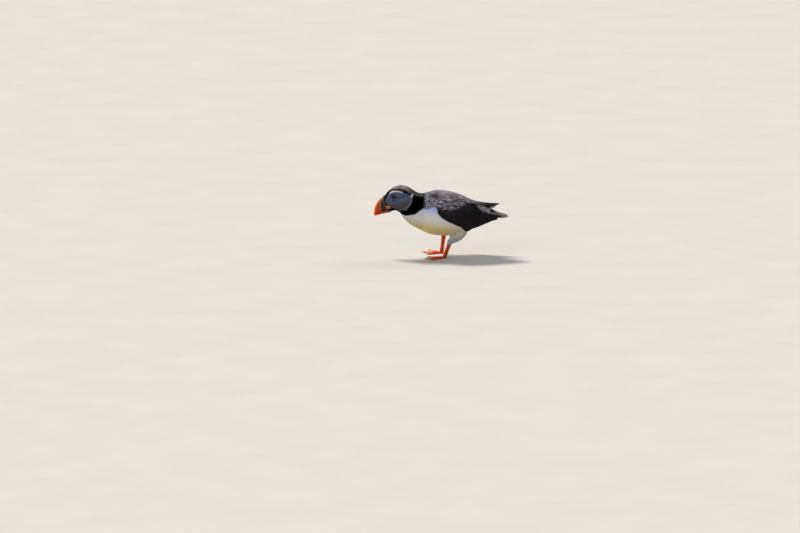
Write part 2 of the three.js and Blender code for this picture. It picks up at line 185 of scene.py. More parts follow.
# How many vanes are in each row of a wing, from the lowest row up.
WING_ROWS = {"primaries": 9, "secondaries": 17, "front_edge": 13, "greater_coverts": 15, "inner": 8}
TAIL_PAIRS = 6
# Where the coverts over the tail's root lie, from its right edge to its left.
TAIL_COVERTS = [-1.0, -0.75, -0.5, -0.25, 0.0, 0.25, 0.5, 0.75, 1.0]
# How many strips the bake map of each wing and of the tail has room for.
WING_STRIPS = 64
TAIL_STRIPS = 48

# ---- driving sizes: eyes, bill and feet ------------------------------------------------------------------

# The eyeball's centre in side view, and its radius.
EYE_MM = {"y": -94.45, "z": 121.6, "radius": 5.2}
# Which way the left eye looks, and the outlines of the horn plates over and under it, from its centre.
GAZE = (1, -0.2, 0.04)
EYE_PLATES_MM = {
    "upper": [(-5.6, 1.2), (-6.2, 4.0), (-5.4, 6.8), (-3.2, 6.5), (0.8, 5.0), (4.6, 3.2), (6.6, 1.0),
              (4.8, 1.6), (3.0, 3.4), (0, 4.4), (-3.0, 3.6), (-4.3, 1.6)],
    "lower": [(-3.9, -4.6), (-3.7, -5.6), (0.0, -6.7), (4.2, -5.6), (4.0, -4.6), (0.0, -5.2)],
}
EYE_PLATE_HEIGHT_MM = 1.1
TOES = ("inner", "middle", "outer")
# The centre that the borders and grooves of the bill's plates curve round, how far from it each groove runs,
# and between which radii the pale seam behind the red tip fades.
BILL_ARC_MM = {"y": -91.55, "z": 100.8}
BILL_GROOVES_MM = [33.2, 36.6, 40.2]
BILL_SEAM_MM = (31.3, 30.8)
# The lower mandible is red under this line, (y, z).
KEEL_LINE_MM = [(-132, 84), (-122, 88.6), (-112, 90.6), (-102, 92.0), (-94, 93)]


# ---- small tools -----------------------------------------------------------------------------------------

def linear(code):
    """Turns an sRGB hex colour into linear RGBA."""
    parts = [int(code[i:i + 2], 16) / 255 for i in (1, 3, 5)]
    return tuple(p / 12.92 if p <= 0.04045 else ((p + 0.055) / 1.055) ** 2.4 for p in parts) + (1.0,)


def add(tree, kind, feeds=None, out=0, **settings):
    """Adds a node: settings are its properties, feeds its sockets' values or links. Gives back one output."""
    made = tree.nodes.new(kind)
    for name, value in settings.items():
        setattr(made, name, value)
    for socket, value in (feeds or {}).items():
        if isinstance(value, bpy.types.NodeSocket):
            tree.links.new(value, made.inputs[socket])
        elif isinstance(value, str) and value.startswith("#"):
            made.inputs[socket].default_value = linear(value)
        else:
            made.inputs[socket].default_value = value
    return made.outputs[out] if made.outputs else None


def smoothstep(low, high, value):
    """0 below low, 1 above high, and an even ease between; low may be the greater."""
    t = np.clip((value - low) / (high - low), 0, 1)
    return t * t * (3 - 2 * t)


def curve_through(points, closed=False, steps=8):
    """A Catmull-Rom curve through 2-D or 3-D points, as an array."""
    p = np.array(points, float)
    if closed:
        p = np.vstack([p[-1], p, p[0], p[1]])
    else:
        p = np.vstack([2 * p[0] - p[1], p, 2 * p[-1] - p[-2]])
    out = []
    for a, b, c, d in zip(p[:-3], p[1:-2], p[2:-1], p[3:]):
        for t in np.linspace(0, 1, steps, endpoint=False):
            out.append(0.5 * (2 * b + (c - a) * t + (2 * a - 5 * b + 4 * c - d) * t ** 2
                              + (3 * b - a - 3 * c + d) * t ** 3))
    if not closed:
        out.append(p[-2])
    return np.array(out)


def nearest_on_line(points, line):
    """For each point, its distance to an open line, the nearest stretch's index and the share along it."""
    best = np.full(len(points), np.inf)
    index = np.zeros(len(points), int)
    share = np.zeros(len(points))
    for i, (a, b) in enumerate(zip(line[:-1], line[1:])):
        d = b - a
        t = np.clip(((points - a) @ d) / (d @ d), 0, 1)
        gap = np.linalg.norm(points - a - t[:, None] * d, axis=1)
        closer = gap < best
        best[closer] = gap[closer]
        index[closer] = i
        share[closer] = t[closer]
    return best, index, share


def inside(points, loop):
    """True for each 2-D point inside a closed loop."""
    hit = np.zeros(len(points), bool)
    for a, b in zip(loop, np.roll(loop, -1, axis=0)):
        spans = (a[1] > points[:, 1]) != (b[1] > points[:, 1])
        if spans.any():
            cut = a[0] + (points[:, 1] - a[1]) * (b[0] - a[0]) / (b[1] - a[1] + 1e-12)
            hit ^= spans & (points[:, 0] < cut)
    return hit


def border_distance(points, loop):
    """Distance from 2-D points to a closed loop, positive inside it."""
    away = nearest_on_line(points, np.vstack([loop, loop[:1]]))[0]
    return np.where(inside(points, loop), away, -away)


class Surface:
    """A mesh with its vertices, normals and edges as arrays, for work on whole surfaces at once."""

    def __init__(self, mesh):
        self.mesh = mesh
        self.count = len(mesh.vertices)
        edges = np.empty(len(mesh.edges) * 2, np.int32)
        mesh.edges.foreach_get("vertices", edges)
        self.edges = edges.reshape(-1, 2)
        self.degree = np.bincount(self.edges.ravel(), minlength=self.count).clip(1)

    def points(self):
        """Where the vertices are."""
        co = np.empty(self.count * 3, np.float32)
        self.mesh.vertices.foreach_get("co", co)
        return co.reshape(-1, 3).astype(float)

    def normals(self):
        """The vertices' normals."""
        n = np.empty(self.count * 3, np.float32)
        self.mesh.vertex_normals.foreach_get("vector", n)
        return n.reshape(-1, 3).astype(float)

    def move(self, points):
        """Puts the vertices elsewhere."""
        self.mesh.vertices.foreach_set("co", points.astype(np.float32).ravel())
        self.mesh.update()

    def averaged(self, values, rounds):
        """Values per vertex, each averaged with its neighbours' a number of times."""
        flat = values.reshape(self.count, -1).astype(float)
        a, b = self.edges.T
        for _ in range(rounds):
            for k in range(flat.shape[1]):
                total = np.bincount(a, flat[b, k], self.count) + np.bincount(b, flat[a, k], self.count)
                flat[:, k] = 0.5 * flat[:, k] + 0.5 * total / self.degree
        return flat.reshape(values.shape)

    def store(self, name, values):
        """Writes an attribute, one number or one vector per vertex."""
        kind, field = ("FLOAT", "value") if values.ndim == 1 else ("FLOAT_VECTOR", "vector")
        made = self.mesh.attributes.new(name, kind, "POINT")
        made.data.foreach_set(field, values.astype(np.float32).ravel())

    def stored(self, name):
        """Reads an attribute back, one number or one vector per vertex."""
        source = self.mesh.attributes[name]
        field, width = ("value", 1) if source.data_type == "FLOAT" else ("vector", 3)
        values = np.empty(self.count * width)
        source.data.foreach_get(field, values)
        return values if width == 1 else values.reshape(-1, 3)


def unit(vectors):
    """The vectors at length 1."""
    return vectors / np.linalg.norm(vectors, axis=-1, keepdims=True).clip(1e-9)


def show(name, mesh):
    """Links a mesh as a new object at the origin."""
    made = bpy.data.objects.new(name, mesh)
    bpy.context.scene.collection.objects.link(made)
    return made


def plain_copy(piece):
    """The piece with its modifiers applied, as a plain mesh."""
    graph = bpy.context.evaluated_depsgraph_get()
    mesh = bpy.data.meshes.new_from_object(piece.evaluated_get(graph))
    mesh.name = piece.name
    return mesh


def discard(piece):
    """Removes an object and its mesh."""
    mesh = piece.data
    bpy.data.objects.remove(piece)
    bpy.data.meshes.remove(mesh)


def finish_piece(piece, finish, slot, *stands_for):
    """Gives a piece its material and says which solids of the frame it stands for."""
    if finish is not None:
        piece.data.materials.clear()
        piece.data.materials.append(finish)
    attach(piece, "root")
    if stands_for:
        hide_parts(*stands_for)


def from_bmesh(name, bm):
    """A new smooth-shaded object of a bmesh, which is used up."""
    mesh = bpy.data.meshes.new(name)
    for face in bm.faces:
        face.smooth = True
    bm.to_mesh(mesh)
    bm.free()
    return show(name, mesh)


def fused(name, nodes, voxel, smoothing, swell=0.25 * MM, fillers=()):
    """One closed smooth surface round copies of some solids; fillers are extra balls, (centre, radius)."""
    bm = bmesh.new()
    for key in nodes:
        bm.from_mesh(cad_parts[key].data)
    bmesh.ops.remove_doubles(bm, verts=bm.verts, dist=0.001 * MM)
    bm.normal_update()
    for v in bm.verts:
        v.co += v.normal * swell
    for centre, radius in fillers:
        bmesh.ops.create_icosphere(bm, subdivisions=3, radius=radius, matrix=Matrix.Translation(centre))
    rough = from_bmesh(name + "_rough", bm)
    remesh = rough.modifiers.new("even", "REMESH")
    remesh.mode = "VOXEL"
    remesh.voxel_size = voxel
    soften = rough.modifiers.new("soften", "SMOOTH")
    soften.factor = 0.5
    soften.iterations = smoothing
    mesh = plain_copy(rough)
    discard(rough)
    mesh.name = name
    for polygon in mesh.polygons:
        polygon.use_smooth = True
    return mesh


# ---- materials -------------------------------------------------------------------------------------------

def new_material(name, **principled):
    """A material whose Principled shader has these uniform values, with its tree and shader."""
    made = bpy.data.materials.new(name)
    made.use_nodes = True
    tree = made.node_tree
    shader = tree.nodes["Principled BSDF"]
    for socket, value in principled.items():
        shader.inputs[socket.replace("_", " ")].default_value = value
    return made, tree, shader


def per_mm(size):
    """The scale at which a texture on metres repeats every so many millimetres."""
    return 1 / (size * MM)


def mottled(tree, dark, light, size_mm):
    """Two tones in soft patches of a real size, on the piece's own coordinates."""
    place = add(tree, "ShaderNodeTexCoord", out="Object")
    cloud = add(tree, "ShaderNodeTexNoise", {"Vector": place, "Scale": per_mm(size_mm), "Detail": 3.0})
    share = add(tree, "ShaderNodeMapRange", {"Value": cloud, "From Min": 0.3, "From Max": 0.7},
                interpolation_type="SMOOTHSTEP")
    return add(tree, "ShaderNodeMix", {0: share, 6: dark, 7: light}, out=2, data_type="RGBA")


def marked(tree, colour, marking, tint, strength=1.0):
    """Lays a tint over a colour by the strength that an attribute gives each place."""
    share = add(tree, "ShaderNodeAttribute", out="Fac", attribute_name=marking)
    share = add(tree, "ShaderNodeMath", {0: share, 1: strength}, operation="MULTIPLY")
    return add(tree, "ShaderNodeMix", {0: share, 6: colour, 7: tint}, out=2, data_type="RGBA")


def surfaced(tree, shader, colour, grain_mm, depth_mm, relief=None):
    """Gives a shader its colour, and a bump from fine grain over a coarser relief where there is one."""
    place = add(tree, "ShaderNodeTexCoord", out="Object")
    height = add(tree, "ShaderNodeTexNoise", {"Vector": place, "Scale": per_mm(grain_mm), "Detail": 3.0})
    if relief is not None:
        height = add(tree, "ShaderNodeMath", {0: height, 1: 0.4, 2: relief}, operation="MULTIPLY_ADD")
    bump = add(tree, "ShaderNodeBump", {"Height": height, "Distance": depth_mm * MM})
    tree.links.new(colour, shader.inputs["Base Color"])
    tree.links.new(bump, shader.inputs["Normal"])


def plumage_colour(tree):
    """The bird's markings, with painted light and shade among them, the same on skin and coat, from what each
    place or feather root carries.
    """
    place = add(tree, "ShaderNodeTexCoord", out="Object")
    ragged = add(tree, "ShaderNodeTexNoise", {"Vector": place, "Scale": per_mm(2.2)})
    ragged = add(tree, "ShaderNodeMath", {0: ragged, 1: 1.2, 2: -0.6}, operation="MULTIPLY_ADD")
    within = {}
    for border, soft in (("hood_mm", 0.6), ("face_mm", 0.3)):
        away = add(tree, "ShaderNodeAttribute", out="Fac", attribute_name=border)
        away = add(tree, "ShaderNodeMath", {0: away, 1: ragged}, operation="ADD")
        within[border] = add(tree, "ShaderNodeMapRange", {"Value": away, "From Min": -soft, "From Max": soft},
                             interpolation_type="SMOOTHSTEP")

    # Silvery streaks, 3 mm wide and 8 mm long, over the mantle and the crown: partly worn feather edges,
    # partly painted sheen and highlight.
    slanted = add(tree, "ShaderNodeMapping", {"Vector": place, "Rotation": (math.radians(-20), 0, 0),
                                              "Scale": (per_mm(3), per_mm(8), per_mm(2.8))})
    streak = add(tree, "ShaderNodeTexNoise",
                 {"Vector": slanted, "Scale": 1.0, "Detail": 3.0, "Roughness": 0.65})
    streak = add(tree, "ShaderNodeMapRange", {"Value": streak, "From Min": 0.34, "From Max": 0.74},
                 interpolation_type="SMOOTHSTEP")
    worn = add(tree, "ShaderNodeAttribute", out="Fac", attribute_name="worn")
    wear_and_sheen = add(tree, "ShaderNodeMath", {0: streak, 1: worn}, operation="MULTIPLY", use_clamp=True)
    silver = add(tree, "ShaderNodeMix", {0: wear_and_sheen, 6: "#242027", 7: "#c9bfce"}, out=2, data_type="RGBA")

    # White plumage is painted sky-blue high on the breast, as shade lit by the sky.
    pale = marked(tree, "#a2bcff", "breast", "#dddcd8")
    # The belly is painted warm yellow, as light reflected onto it.
    pale = marked(tree, pale, "belly", "#d3bf7c")
    pale = marked(tree, pale, "thigh", "#a3a8ac")
    # The crown's brown is lightened on top by a painted highlight in the same streaks.
    brown_and_highlight = add(tree, "ShaderNodeMix", {0: streak, 6: "#6e605b", 7: "#d8cac4"}, out=2, data_type="RGBA")
    dark = marked(tree, "#040405", "crown", brown_and_highlight)
    dark = marked(tree, dark, "mantle", silver)
    dark = marked(tree, dark, "rump", "#171517")
    dark = marked(tree, dark, "wing", "#1b191b")
    # The face's lower rear is painted darker grey, as shade.
    cheek = marked(tree, "#606a87", "cheek", "#53524f")
    coloured = pale
    for border, over in (("hood_mm", dark), ("face_mm", cheek)):
        coloured = add(tree, "ShaderNodeMix", {0: within[border], 6: coloured, 7: over}, out=2,
                       data_type="RGBA")
    # A painted white highlight along the face's upper edge and at its rear corner.
    coloured = marked(tree, coloured, "brow_line", "#fbfbff")
    return marked(tree, coloured, "crease", "#15151b")


def plumage(name, barbs, fringe, sheen, variety=0.26, shaft_tone=0.2, roughness=0.7, gloss=0.1):
    """Contour feathers: matt, soft and finely barbed, with paler tips, from wear and from painted sheen, and
    a slightly darker shaft.
    """
    made, tree, shader = new_material(name, Roughness=roughness, Sheen_Weight=sheen, Sheen_Roughness=0.35,
                                      Specular_IOR_Level=gloss)
    place = add(tree, "ShaderNodeTexCoord", out="Object")
    told = {key: add(tree, "ShaderNodeAttribute", out="Fac", attribute_name=key)
            for key in ("along", "across", "tone", "worn")}
    off_shaft = add(tree, "ShaderNodeMath", {0: told["across"]}, operation="ABSOLUTE")

    # Each feather is a little lighter or darker than the next.
    tone = add(tree, "ShaderNodeMath", {0: told["tone"], 1: variety, 2: 1 - variety / 2},
               operation="MULTIPLY_ADD")
    grey = add(tree, "ShaderNodeCombineColor", {0: tone, 1: tone, 2: tone})
    coloured = add(tree, "ShaderNodeMix", {0: 1.0, 6: plumage_colour(tree), 7: grey}, out=2, data_type="RGBA",
                   blend_type="MULTIPLY")
    tip = add(tree, "ShaderNodeMapRange",
              {"Value": told["along"], "From Min": 0.72, "From Max": 1.0, "To Max": fringe},
              interpolation_type="SMOOTHSTEP")
    tip = add(tree, "ShaderNodeMath", {0: tip, 1: told["worn"]}, operation="MULTIPLY", use_clamp=True)
    shaft = add(tree, "ShaderNodeMapRange",
                {"Value": off_shaft, "From Min": 0.22, "From Max": 0.0, "To Max": shaft_tone},
                interpolation_type="SMOOTHSTEP")
    for share, tint in ((tip, "#b3abb2"), (shaft, "#0e0d10")):
        coloured = add(tree, "ShaderNodeMix", {0: share, 6: coloured, 7: tint}, out=2, data_type="RGBA")
    tree.links.new(coloured, shader.inputs["Base Color"])

    slant = add(tree, "ShaderNodeMath", {0: off_shaft, 1: -0.35, 2: told["along"]}, operation="MULTIPLY_ADD")
    turns = add(tree, "ShaderNodeMath", {0: slant, 1: barbs * math.tau}, operation="MULTIPLY")
    ribs = add(tree, "ShaderNodeMath", {0: turns}, operation="SINE")
    fluff = add(tree, "ShaderNodeTexNoise", {"Vector": place, "Scale": per_mm(0.5)})
    height = add(tree, "ShaderNodeMath", {0: fluff, 1: 2.0, 2: ribs}, operation="MULTIPLY_ADD")
    bump = add(tree, "ShaderNodeBump", {"Height": height, "Distance": 0.03 * MM})
    tree.links.new(bump, shader.inputs["Normal"])
    return made


def bare_skin():
    """The skin between the feathers' roots: matt, in the colours of the coat over it, darkened a little as
    painted shade.
    """
    made, tree, shader = new_material("feathered_skin", Roughness=0.8, Specular_IOR_Level=0.2)
    shaded = add(tree, "ShaderNodeMix", {0: 0.15, 6: plumage_colour(tree), 7: "#000000"}, out=2,
                 data_type="RGBA")
    surfaced(tree, shader, shaded, grain_mm=0.8, depth_mm=0.15)
    return made


def flight_feather():
    """Stiff closed vanes: smooth black-brown with a paler shaft, fine slanting barbs, a worn edge, and a
    streaked painted highlight over the ends of some.
    """
    made, tree, shader = new_material("flight_feather", Roughness=0.55, Specular_IOR_Level=0.12)
    told = {key: add(tree, "ShaderNodeAttribute", out="Fac", attribute_name=key)
            for key in ("along", "across", "pale", "rim")}
    off_shaft = add(tree, "ShaderNodeMath", {0: told["across"]}, operation="ABSOLUTE")
    margins = {}
    for name, value, low, high, most in (
        ("edge", off_shaft, 0.9, 1.0, 0.06), ("tip", told["along"], 0.965, 1.0, 1.0),
        ("shaft", off_shaft, 0.09, 0.04, 0.45), ("outer", told["along"], 0.55, 1.0, 1.0),
    ):
        margins[name] = add(tree, "ShaderNodeMapRange",
                            {"Value": value, "From Min": low, "From Max": high, "To Max": most},
                            interpolation_type="SMOOTHSTEP")
    vane = add(tree, "ShaderNodeMix", {0: margins["outer"], 6: "#0a090a", 7: "#151214"}, out=2,
               data_type="RGBA")
    vane = marked(tree, vane, "tone", "#211e20", 0.4)
    # The pale ends of some vanes are a painted highlight, streaked along the vane, a little differently on
    # each.
    spot = add(tree, "ShaderNodeCombineXYZ", {0: told["across"], 1: told["along"]})
    spot = add(tree, "ShaderNodeVectorMath", {0: spot, 1: (2.0, 2.2, 1.0)}, operation="MULTIPLY")
    place = add(tree, "ShaderNodeTexCoord", out="Object")
    spot = add(tree, "ShaderNodeVectorMath", {0: place, 1: (per_mm(25),) * 3, 2: spot},
               operation="MULTIPLY_ADD")
    streak = add(tree, "ShaderNodeTexNoise", {"Vector": spot, "Scale": 1.6, "Detail": 3.0})
    streak = add(tree, "ShaderNodeMapRange",
                 {"Value": streak, "From Min": 0.4, "From Max": 0.62, "To Min": 0.1, "To Max": 1.5})
    pale = add(tree, "ShaderNodeMath", {0: told["pale"], 1: streak}, operation="MULTIPLY", use_clamp=True)
    margin = add(tree, "ShaderNodeMath", {0: margins["edge"], 1: margins["tip"]}, operation="MAXIMUM")
    worn = add(tree, "ShaderNodeMath", {0: margin, 1: told["rim"]}, operation="MULTIPLY")
    for share, tint in ((margins["shaft"], "#3d3531"), (pale, "#eae6f0"), (worn, "#a08a5c")):
        vane = add(tree, "ShaderNodeMix", {0: share, 6: vane, 7: tint}, out=2, data_type="RGBA")
    tree.links.new(vane, shader.inputs["Base Color"])

    slant = add(tree, "ShaderNodeMath", {0: off_shaft, 1: -0.07, 2: told["along"]}, operation="MULTIPLY_ADD")
    # Real barbs are 0.3 mm apart. A vane has 70 here, up to 1 mm apart on the longest, so that they show.
    turns = add(tree, "ShaderNodeMath", {0: slant, 1: 70 * math.tau}, operation="MULTIPLY")
    ribs = add(tree, "ShaderNodeMath", {0: turns}, operation="SINE")
    bump = add(tree, "ShaderNodeBump", {"Height": ribs, "Distance": 0.04 * MM})
    tree.links.new(bump, shader.inputs["Normal"])
    return made


def bill_radius_mm(tree):
    """Distance in side view from the centre of the bill's curved plates."""
    place = add(tree, "ShaderNodeTexCoord", out="Object")
    centre = (0, BILL_ARC_MM["y"] * MM, BILL_ARC_MM["z"] * MM)
    offset = add(tree, "ShaderNodeVectorMath", {0: place, 1: centre}, operation="SUBTRACT")
    side = add(tree, "ShaderNodeVectorMath", {0: offset, 1: (0, 1 / MM, 1 / MM)}, operation="MULTIPLY")
    return add(tree, "ShaderNodeVectorMath", {0: side}, out="Value", operation="LENGTH")


def red_horn():
    """The horn of the bill's tip: satin orange-red, yellower towards its ridge as a painted highlight, darker
    in the grooves.
    """
    made, tree, shader = new_material("red_bill_horn", Roughness=0.34, Specular_IOR_Level=0.12)
    radius = bill_radius_mm(tree)
    horn = mottled(tree, "#c62600", "#e43f00", size_mm=5)
    horn = marked(tree, horn, "ridge", "#ff7300")
    horn = marked(tree, horn, "groove", "#8a1c02", 0.6)
    border = add(tree, "ShaderNodeMapRange",
                 {"Value": radius, "From Min": BILL_SEAM_MM[0], "From Max": BILL_SEAM_MM[1]},
                 interpolation_type="SMOOTHSTEP")
    horn = add(tree, "ShaderNodeMix", {0: border, 6: horn, 7: "#b5a05f"}, out=2, data_type="RGBA")
    # Growth lines follow the plates' curve, 0.45 mm apart.
    turns = add(tree, "ShaderNodeMath", {0: radius, 1: 2.2 * math.tau}, operation="MULTIPLY")
    growth = add(tree, "ShaderNodeMath", {0: turns}, operation="SINE")
    growth = add(tree, "ShaderNodeMath", {0: growth, 1: 0.12}, operation="MULTIPLY")
    surfaced(tree, shader, horn, grain_mm=0.7, depth_mm=0.06, relief=growth)
    return made


def slate_horn():
    """The plate at the bill's base: smooth dark slate-blue horn, browner low down, faintly clouded."""
    made, tree, shader = new_material("slate_bill_horn", Roughness=0.42, Specular_IOR_Level=0.2)
    horn = mottled(tree, "#191823", "#262532", size_mm=4)
    horn = marked(tree, horn, "low", "#37302a")
    horn = marked(tree, horn, "keel", "#c63e0a")
    surfaced(tree, shader, horn, grain_mm=0.6, depth_mm=0.05)
    return made


def cream_horn():
    """The raised ridge round the bill's base: matt cream horn with fine pits, against dark skin."""
    made, tree, shader = new_material("cream_horn_ridge", Roughness=0.6, Subsurface_Weight=0.05,
                                      Subsurface_Scale=1.0 * MM)
    horn = mottled(tree, "#6b6549", "#a89e78", size_mm=2.2)
    horn = marked(tree, horn, "outer", "#17171c")
    horn = marked(tree, horn, "keel", "#b5400f")
    place = add(tree, "ShaderNodeTexCoord", out="Object")
    pits = add(tree, "ShaderNodeTexVoronoi", {"Vector": place, "Scale": per_mm(0.9)}, out="Distance")
    surfaced(tree, shader, horn, grain_mm=0.5, depth_mm=0.12, relief=pits)
    return made


def gape_skin():
    """The rosette at the corner of the mouth: soft, moist, wrinkled yellow-orange skin."""
    made, tree, shader = new_material("gape_rosette_skin", Roughness=0.45, Specular_IOR_Level=0.15)
    flesh = mottled(tree, "#e06a00", "#f58e00", size_mm=2.5)
    flesh = marked(tree, flesh, "fold", "#b04f02", 0.8)
    surfaced(tree, shader, flesh, grain_mm=0.6, depth_mm=0.12)
    return made


def leg_leather():
    """Scaly leg and foot skin: moist orange leather in small plates, yellower on the webs, partly their own
    colour and partly a painted highlight.
    """
    made, tree, shader = new_material("scaly_foot_skin", Roughness=0.42, Specular_IOR_Level=0.15)
    place = add(tree, "ShaderNodeTexCoord", out="Object")
    edge = add(tree, "ShaderNodeTexVoronoi", {"Vector": place, "Scale": per_mm(0.95)}, out="Distance",
               feature="DISTANCE_TO_EDGE")
    plates = add(tree, "ShaderNodeMapRange", {"Value": edge, "From Min": 0.0, "From Max": 0.12},
                 interpolation_type="SMOOTHSTEP")
    leather = mottled(tree, "#dd3a00", "#f25400", size_mm=6)
    leather = marked(tree, leather, "web", "#ffc681")
    leather = marked(tree, leather, "joint", "#6e3218", 0.6)
    leather = marked(tree, leather, "shaded", "#6b5a3a", 0.5)
    seams = add(tree, "ShaderNodeMath", {0: plates, 1: -0.3, 2: 0.3}, operation="MULTIPLY_ADD")
    leather = add(tree, "ShaderNodeMix", {0: seams, 6: leather, 7: "#9c2c04"}, out=2, data_type="RGBA")
    surfaced(tree, shader, leather, grain_mm=0.5, depth_mm=0.12, relief=plates)
    return made


def claw_horn():
    """Claws: glossy black-brown horn, faintly clouded with paler brown."""
    made, tree, shader = new_material("claw_horn", Roughness=0.3, Coat_Weight=0.2, Coat_Roughness=0.2)
    surfaced(tree, shader, mottled(tree, "#15110f", "#3a2e28", size_mm=1.4), grain_mm=0.4, depth_mm=0.05)
    return made


def eye_gloss():
    """The eyeball: a dark brown, finely flecked iris round a black pupil, under a wet clear cornea."""
    made, tree, shader = new_material("wet_eye", Roughness=0.5, Specular_IOR_Level=0.0, Coat_Weight=1.0,
                                      Coat_Roughness=0.02, Coat_IOR=1.34)
    gaze = add(tree, "ShaderNodeAttribute", out="Fac", attribute_name="gaze")
    ball = mottled(tree, "#080303", "#190a07", size_mm=0.5)
    for low, high, tone in ((0.62, 0.76, "#0a0404"), (0.44, 0.38, "#010101")):
        share = add(tree, "ShaderNodeMapRange", {"Value": gaze, "From Min": low, "From Max": high},
                    interpolation_type="SMOOTHSTEP")
        ball = add(tree, "ShaderNodeMix", {0: share, 6: ball, 7: tone}, out=2, data_type="RGBA")
    tree.links.new(ball, shader.inputs["Base Color"])
    return made


def lid_skin():
    """The bare ring of the eyelids: thin beaded skin, dull dark red."""
    made, tree, shader = new_material("eyelid_ring", Roughness=0.5, Subsurface_Weight=0.1,
                                      Subsurface_Scale=0.6 * MM)
    surfaced(tree, shader, mottled(tree, "#120606", "#28100c", size_mm=1.0), grain_mm=0.5, depth_mm=0.1)
    return made


def lid_horn():
    """The horny plates at the eye, and the tissue inside the bill: dull blue-black with a faint grain."""
    made, tree, shader = new_material("eye_horn_plate", Roughness=0.5, Specular_IOR_Level=0.3)
    surfaced(tree, shader, mottled(tree, "#0d0c10", "#191a21", size_mm=1.6), grain_mm=0.5, depth_mm=0.08)
    return made


def pale_floor():
    """A painted studio floor: matt warm white with a barely visible roller texture."""
    made, tree, shader = new_material("pale_floor_paint", Roughness=0.75, Specular_IOR_Level=0.2)
    surfaced(tree, shader, mottled(tree, "#d5d3cf", "#d9d7d3", size_mm=120), grain_mm=1.5, depth_mm=0.05)
    return made


# ---- camera, light and floor -----------------------------------------------------------------------------

def stand(name, data, place, towards):
    """Links a lamp or a camera at a place, pointed in a direction."""
    made = bpy.data.objects.new(name, data)
    made.location = place
    made.rotation_mode = "QUATERNION"
    made.rotation_quaternion = towards.to_track_quat("-Z", "Y")
    bpy.context.scene.collection.objects.link(made)
    return made


def set_stage():
    """A long lens from the bird's left and a little above; the main light is high, ahead and on its right."""
    elevation = math.radians(CAMERA["elevation"])
    back = Vector((math.cos(elevation), 0, math.sin(elevation)))
    camera = bpy.data.cameras.new("camera")
    camera.sensor_width = CAMERA["sensor_mm"]
    camera.lens = camera.sensor_width * CAMERA["distance"] / CAMERA["view_width"]
    camera.clip_end = 5 * CAMERA["distance"]
    place = Vector(CAMERA["aim_mm"]) * MM + back * CAMERA["distance"]
    bpy.context.scene.camera = stand("camera", camera, place, -back)

    for name, place, width, strength, tint in LAMPS:
        light = bpy.data.lights.new(name, "SUN")
        light.angle = math.radians(width)
        light.energy = strength
        light.color = linear(tint)[:3]
        stand(name, light, place, -Vector(place))

    world = bpy.data.worlds.new("soft_sky")
    world.use_nodes = True
    sky = world.node_tree.nodes["Background"]
    sky.inputs["Color"].default_value = linear(SKY["tint"])
    sky.inputs["Strength"].default_value = SKY["strength"]
    bpy.context.scene.world = world
    bpy.context.scene.view_settings.view_transform = "Standard"

    bm = bmesh.new()
    bmesh.ops.create_grid(bm, x_segments=2, y_segments=2, size=FLOOR_HALF_WIDTH)
    floor = from_bmesh("floor", bm)
    floor.data.materials.append(pale_floor())


# ---- skin ------------------------------------------------------------------------------------------------

def surface_tree(nodes):
    """A search tree over some solids of the frame, with the name of the solid each triangle is from."""
    points, faces, owner = [], [], []
    for key in nodes:
        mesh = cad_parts[key].data
        start = len(points)
        points.extend(v.co.copy() for v in mesh.vertices)
        for polygon in mesh.polygons:
            faces.append([start + i for i in polygon.vertices])
            owner.append(key)
    return BVHTree.FromPolygons(points, faces), owner


def part_shares(surface, nodes):
    """How much each vertex belongs to each of some solids, with soft borders."""
    tree, owner = surface_tree(nodes)
    index = {key: i for i, key in enumerate(nodes)}
    shares = np.zeros((surface.count, len(nodes)))
    for i, point in enumerate(surface.points()):
        face = tree.find_nearest(point)[2]
        shares[i, index[owner[face]]] = 1
    return surface.averaged(shares, 14)


def share_of(shares, *parts):
    """How much each place belongs to some parts of the flesh together."""
    names = list(PLUMAGE_MM)
    return sum(shares[:, names.index(part)] for part in parts)


def lie_of_feathers(surface, points, normals, shares):
    """The direction in which feathers point: back along the spine, down the thighs, along the wings."""
    spine = curve_through(SPINE_MM) * MM
    index = nearest_on_line(points[:, 1:], spine)[1]
    tangent = unit(np.diff(spine, axis=0))[index]
    lie = np.column_stack([np.zeros(len(points)), tangent])
    from_bill = unit(points - np.array(GAPE_MM) * MM)
    near_bill = smoothstep(-72 * MM, -104 * MM, points[:, 1])
    thigh = share_of(shares, "thigh_left", "thigh_right")
    wing = share_of(shares, "wing_left_coverts", "wing_right_coverts")
    for heading, zone in ((from_bill, near_bill), (THIGH_LIE, thigh), (WING_LIE, wing)):
        lie = lie * (1 - zone[:, None]) + np.array(heading) * zone[:, None]
    for _ in range(6):
        lie -= normals * (lie * normals).sum(axis=1, keepdims=True)
        lie = surface.averaged(unit(lie), 3)
    lie -= normals * (lie * normals).sum(axis=1, keepdims=True)
    return unit(lie)


def unwrap_of(points, shares):
    """An unwrap round the spine, and for each thigh round its own upright axis.

    Gives the sine and cosine of each place's angle, and how far along the axis it is.
    """
    spine = curve_through(SPINE_MM) * MM
    _, index, share = nearest_on_line(points[:, 1:], spine)
    step = np.diff(spine, axis=0)
    length = np.linalg.norm(step, axis=1)
    reach = np.concatenate([[0], np.cumsum(length)])
    along = reach[index] + length[index] * share
    centre = spine[index] + step[index] * share[:, None]
    across, up = points[:, 0], points[:, 2] - centre[:, 1]
    size = np.hypot(across, up).clip(1e-6)
    turn = np.column_stack([across / size, up / size])
    for key in SIDES:
        low, high = (np.array(corner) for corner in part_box("thigh_" + key))
        thigh = share_of(shares, "thigh_" + key) > 0.5
        offset = points[thigh] - (low + high) / 2
        spread = np.hypot(offset[:, 0], offset[:, 1]).clip(1e-6)
        turn[thigh] = np.column_stack([offset[:, 0] / spread, offset[:, 1] / spread])
        along[thigh] = high[2] - points[thigh, 2]
    return turn, along


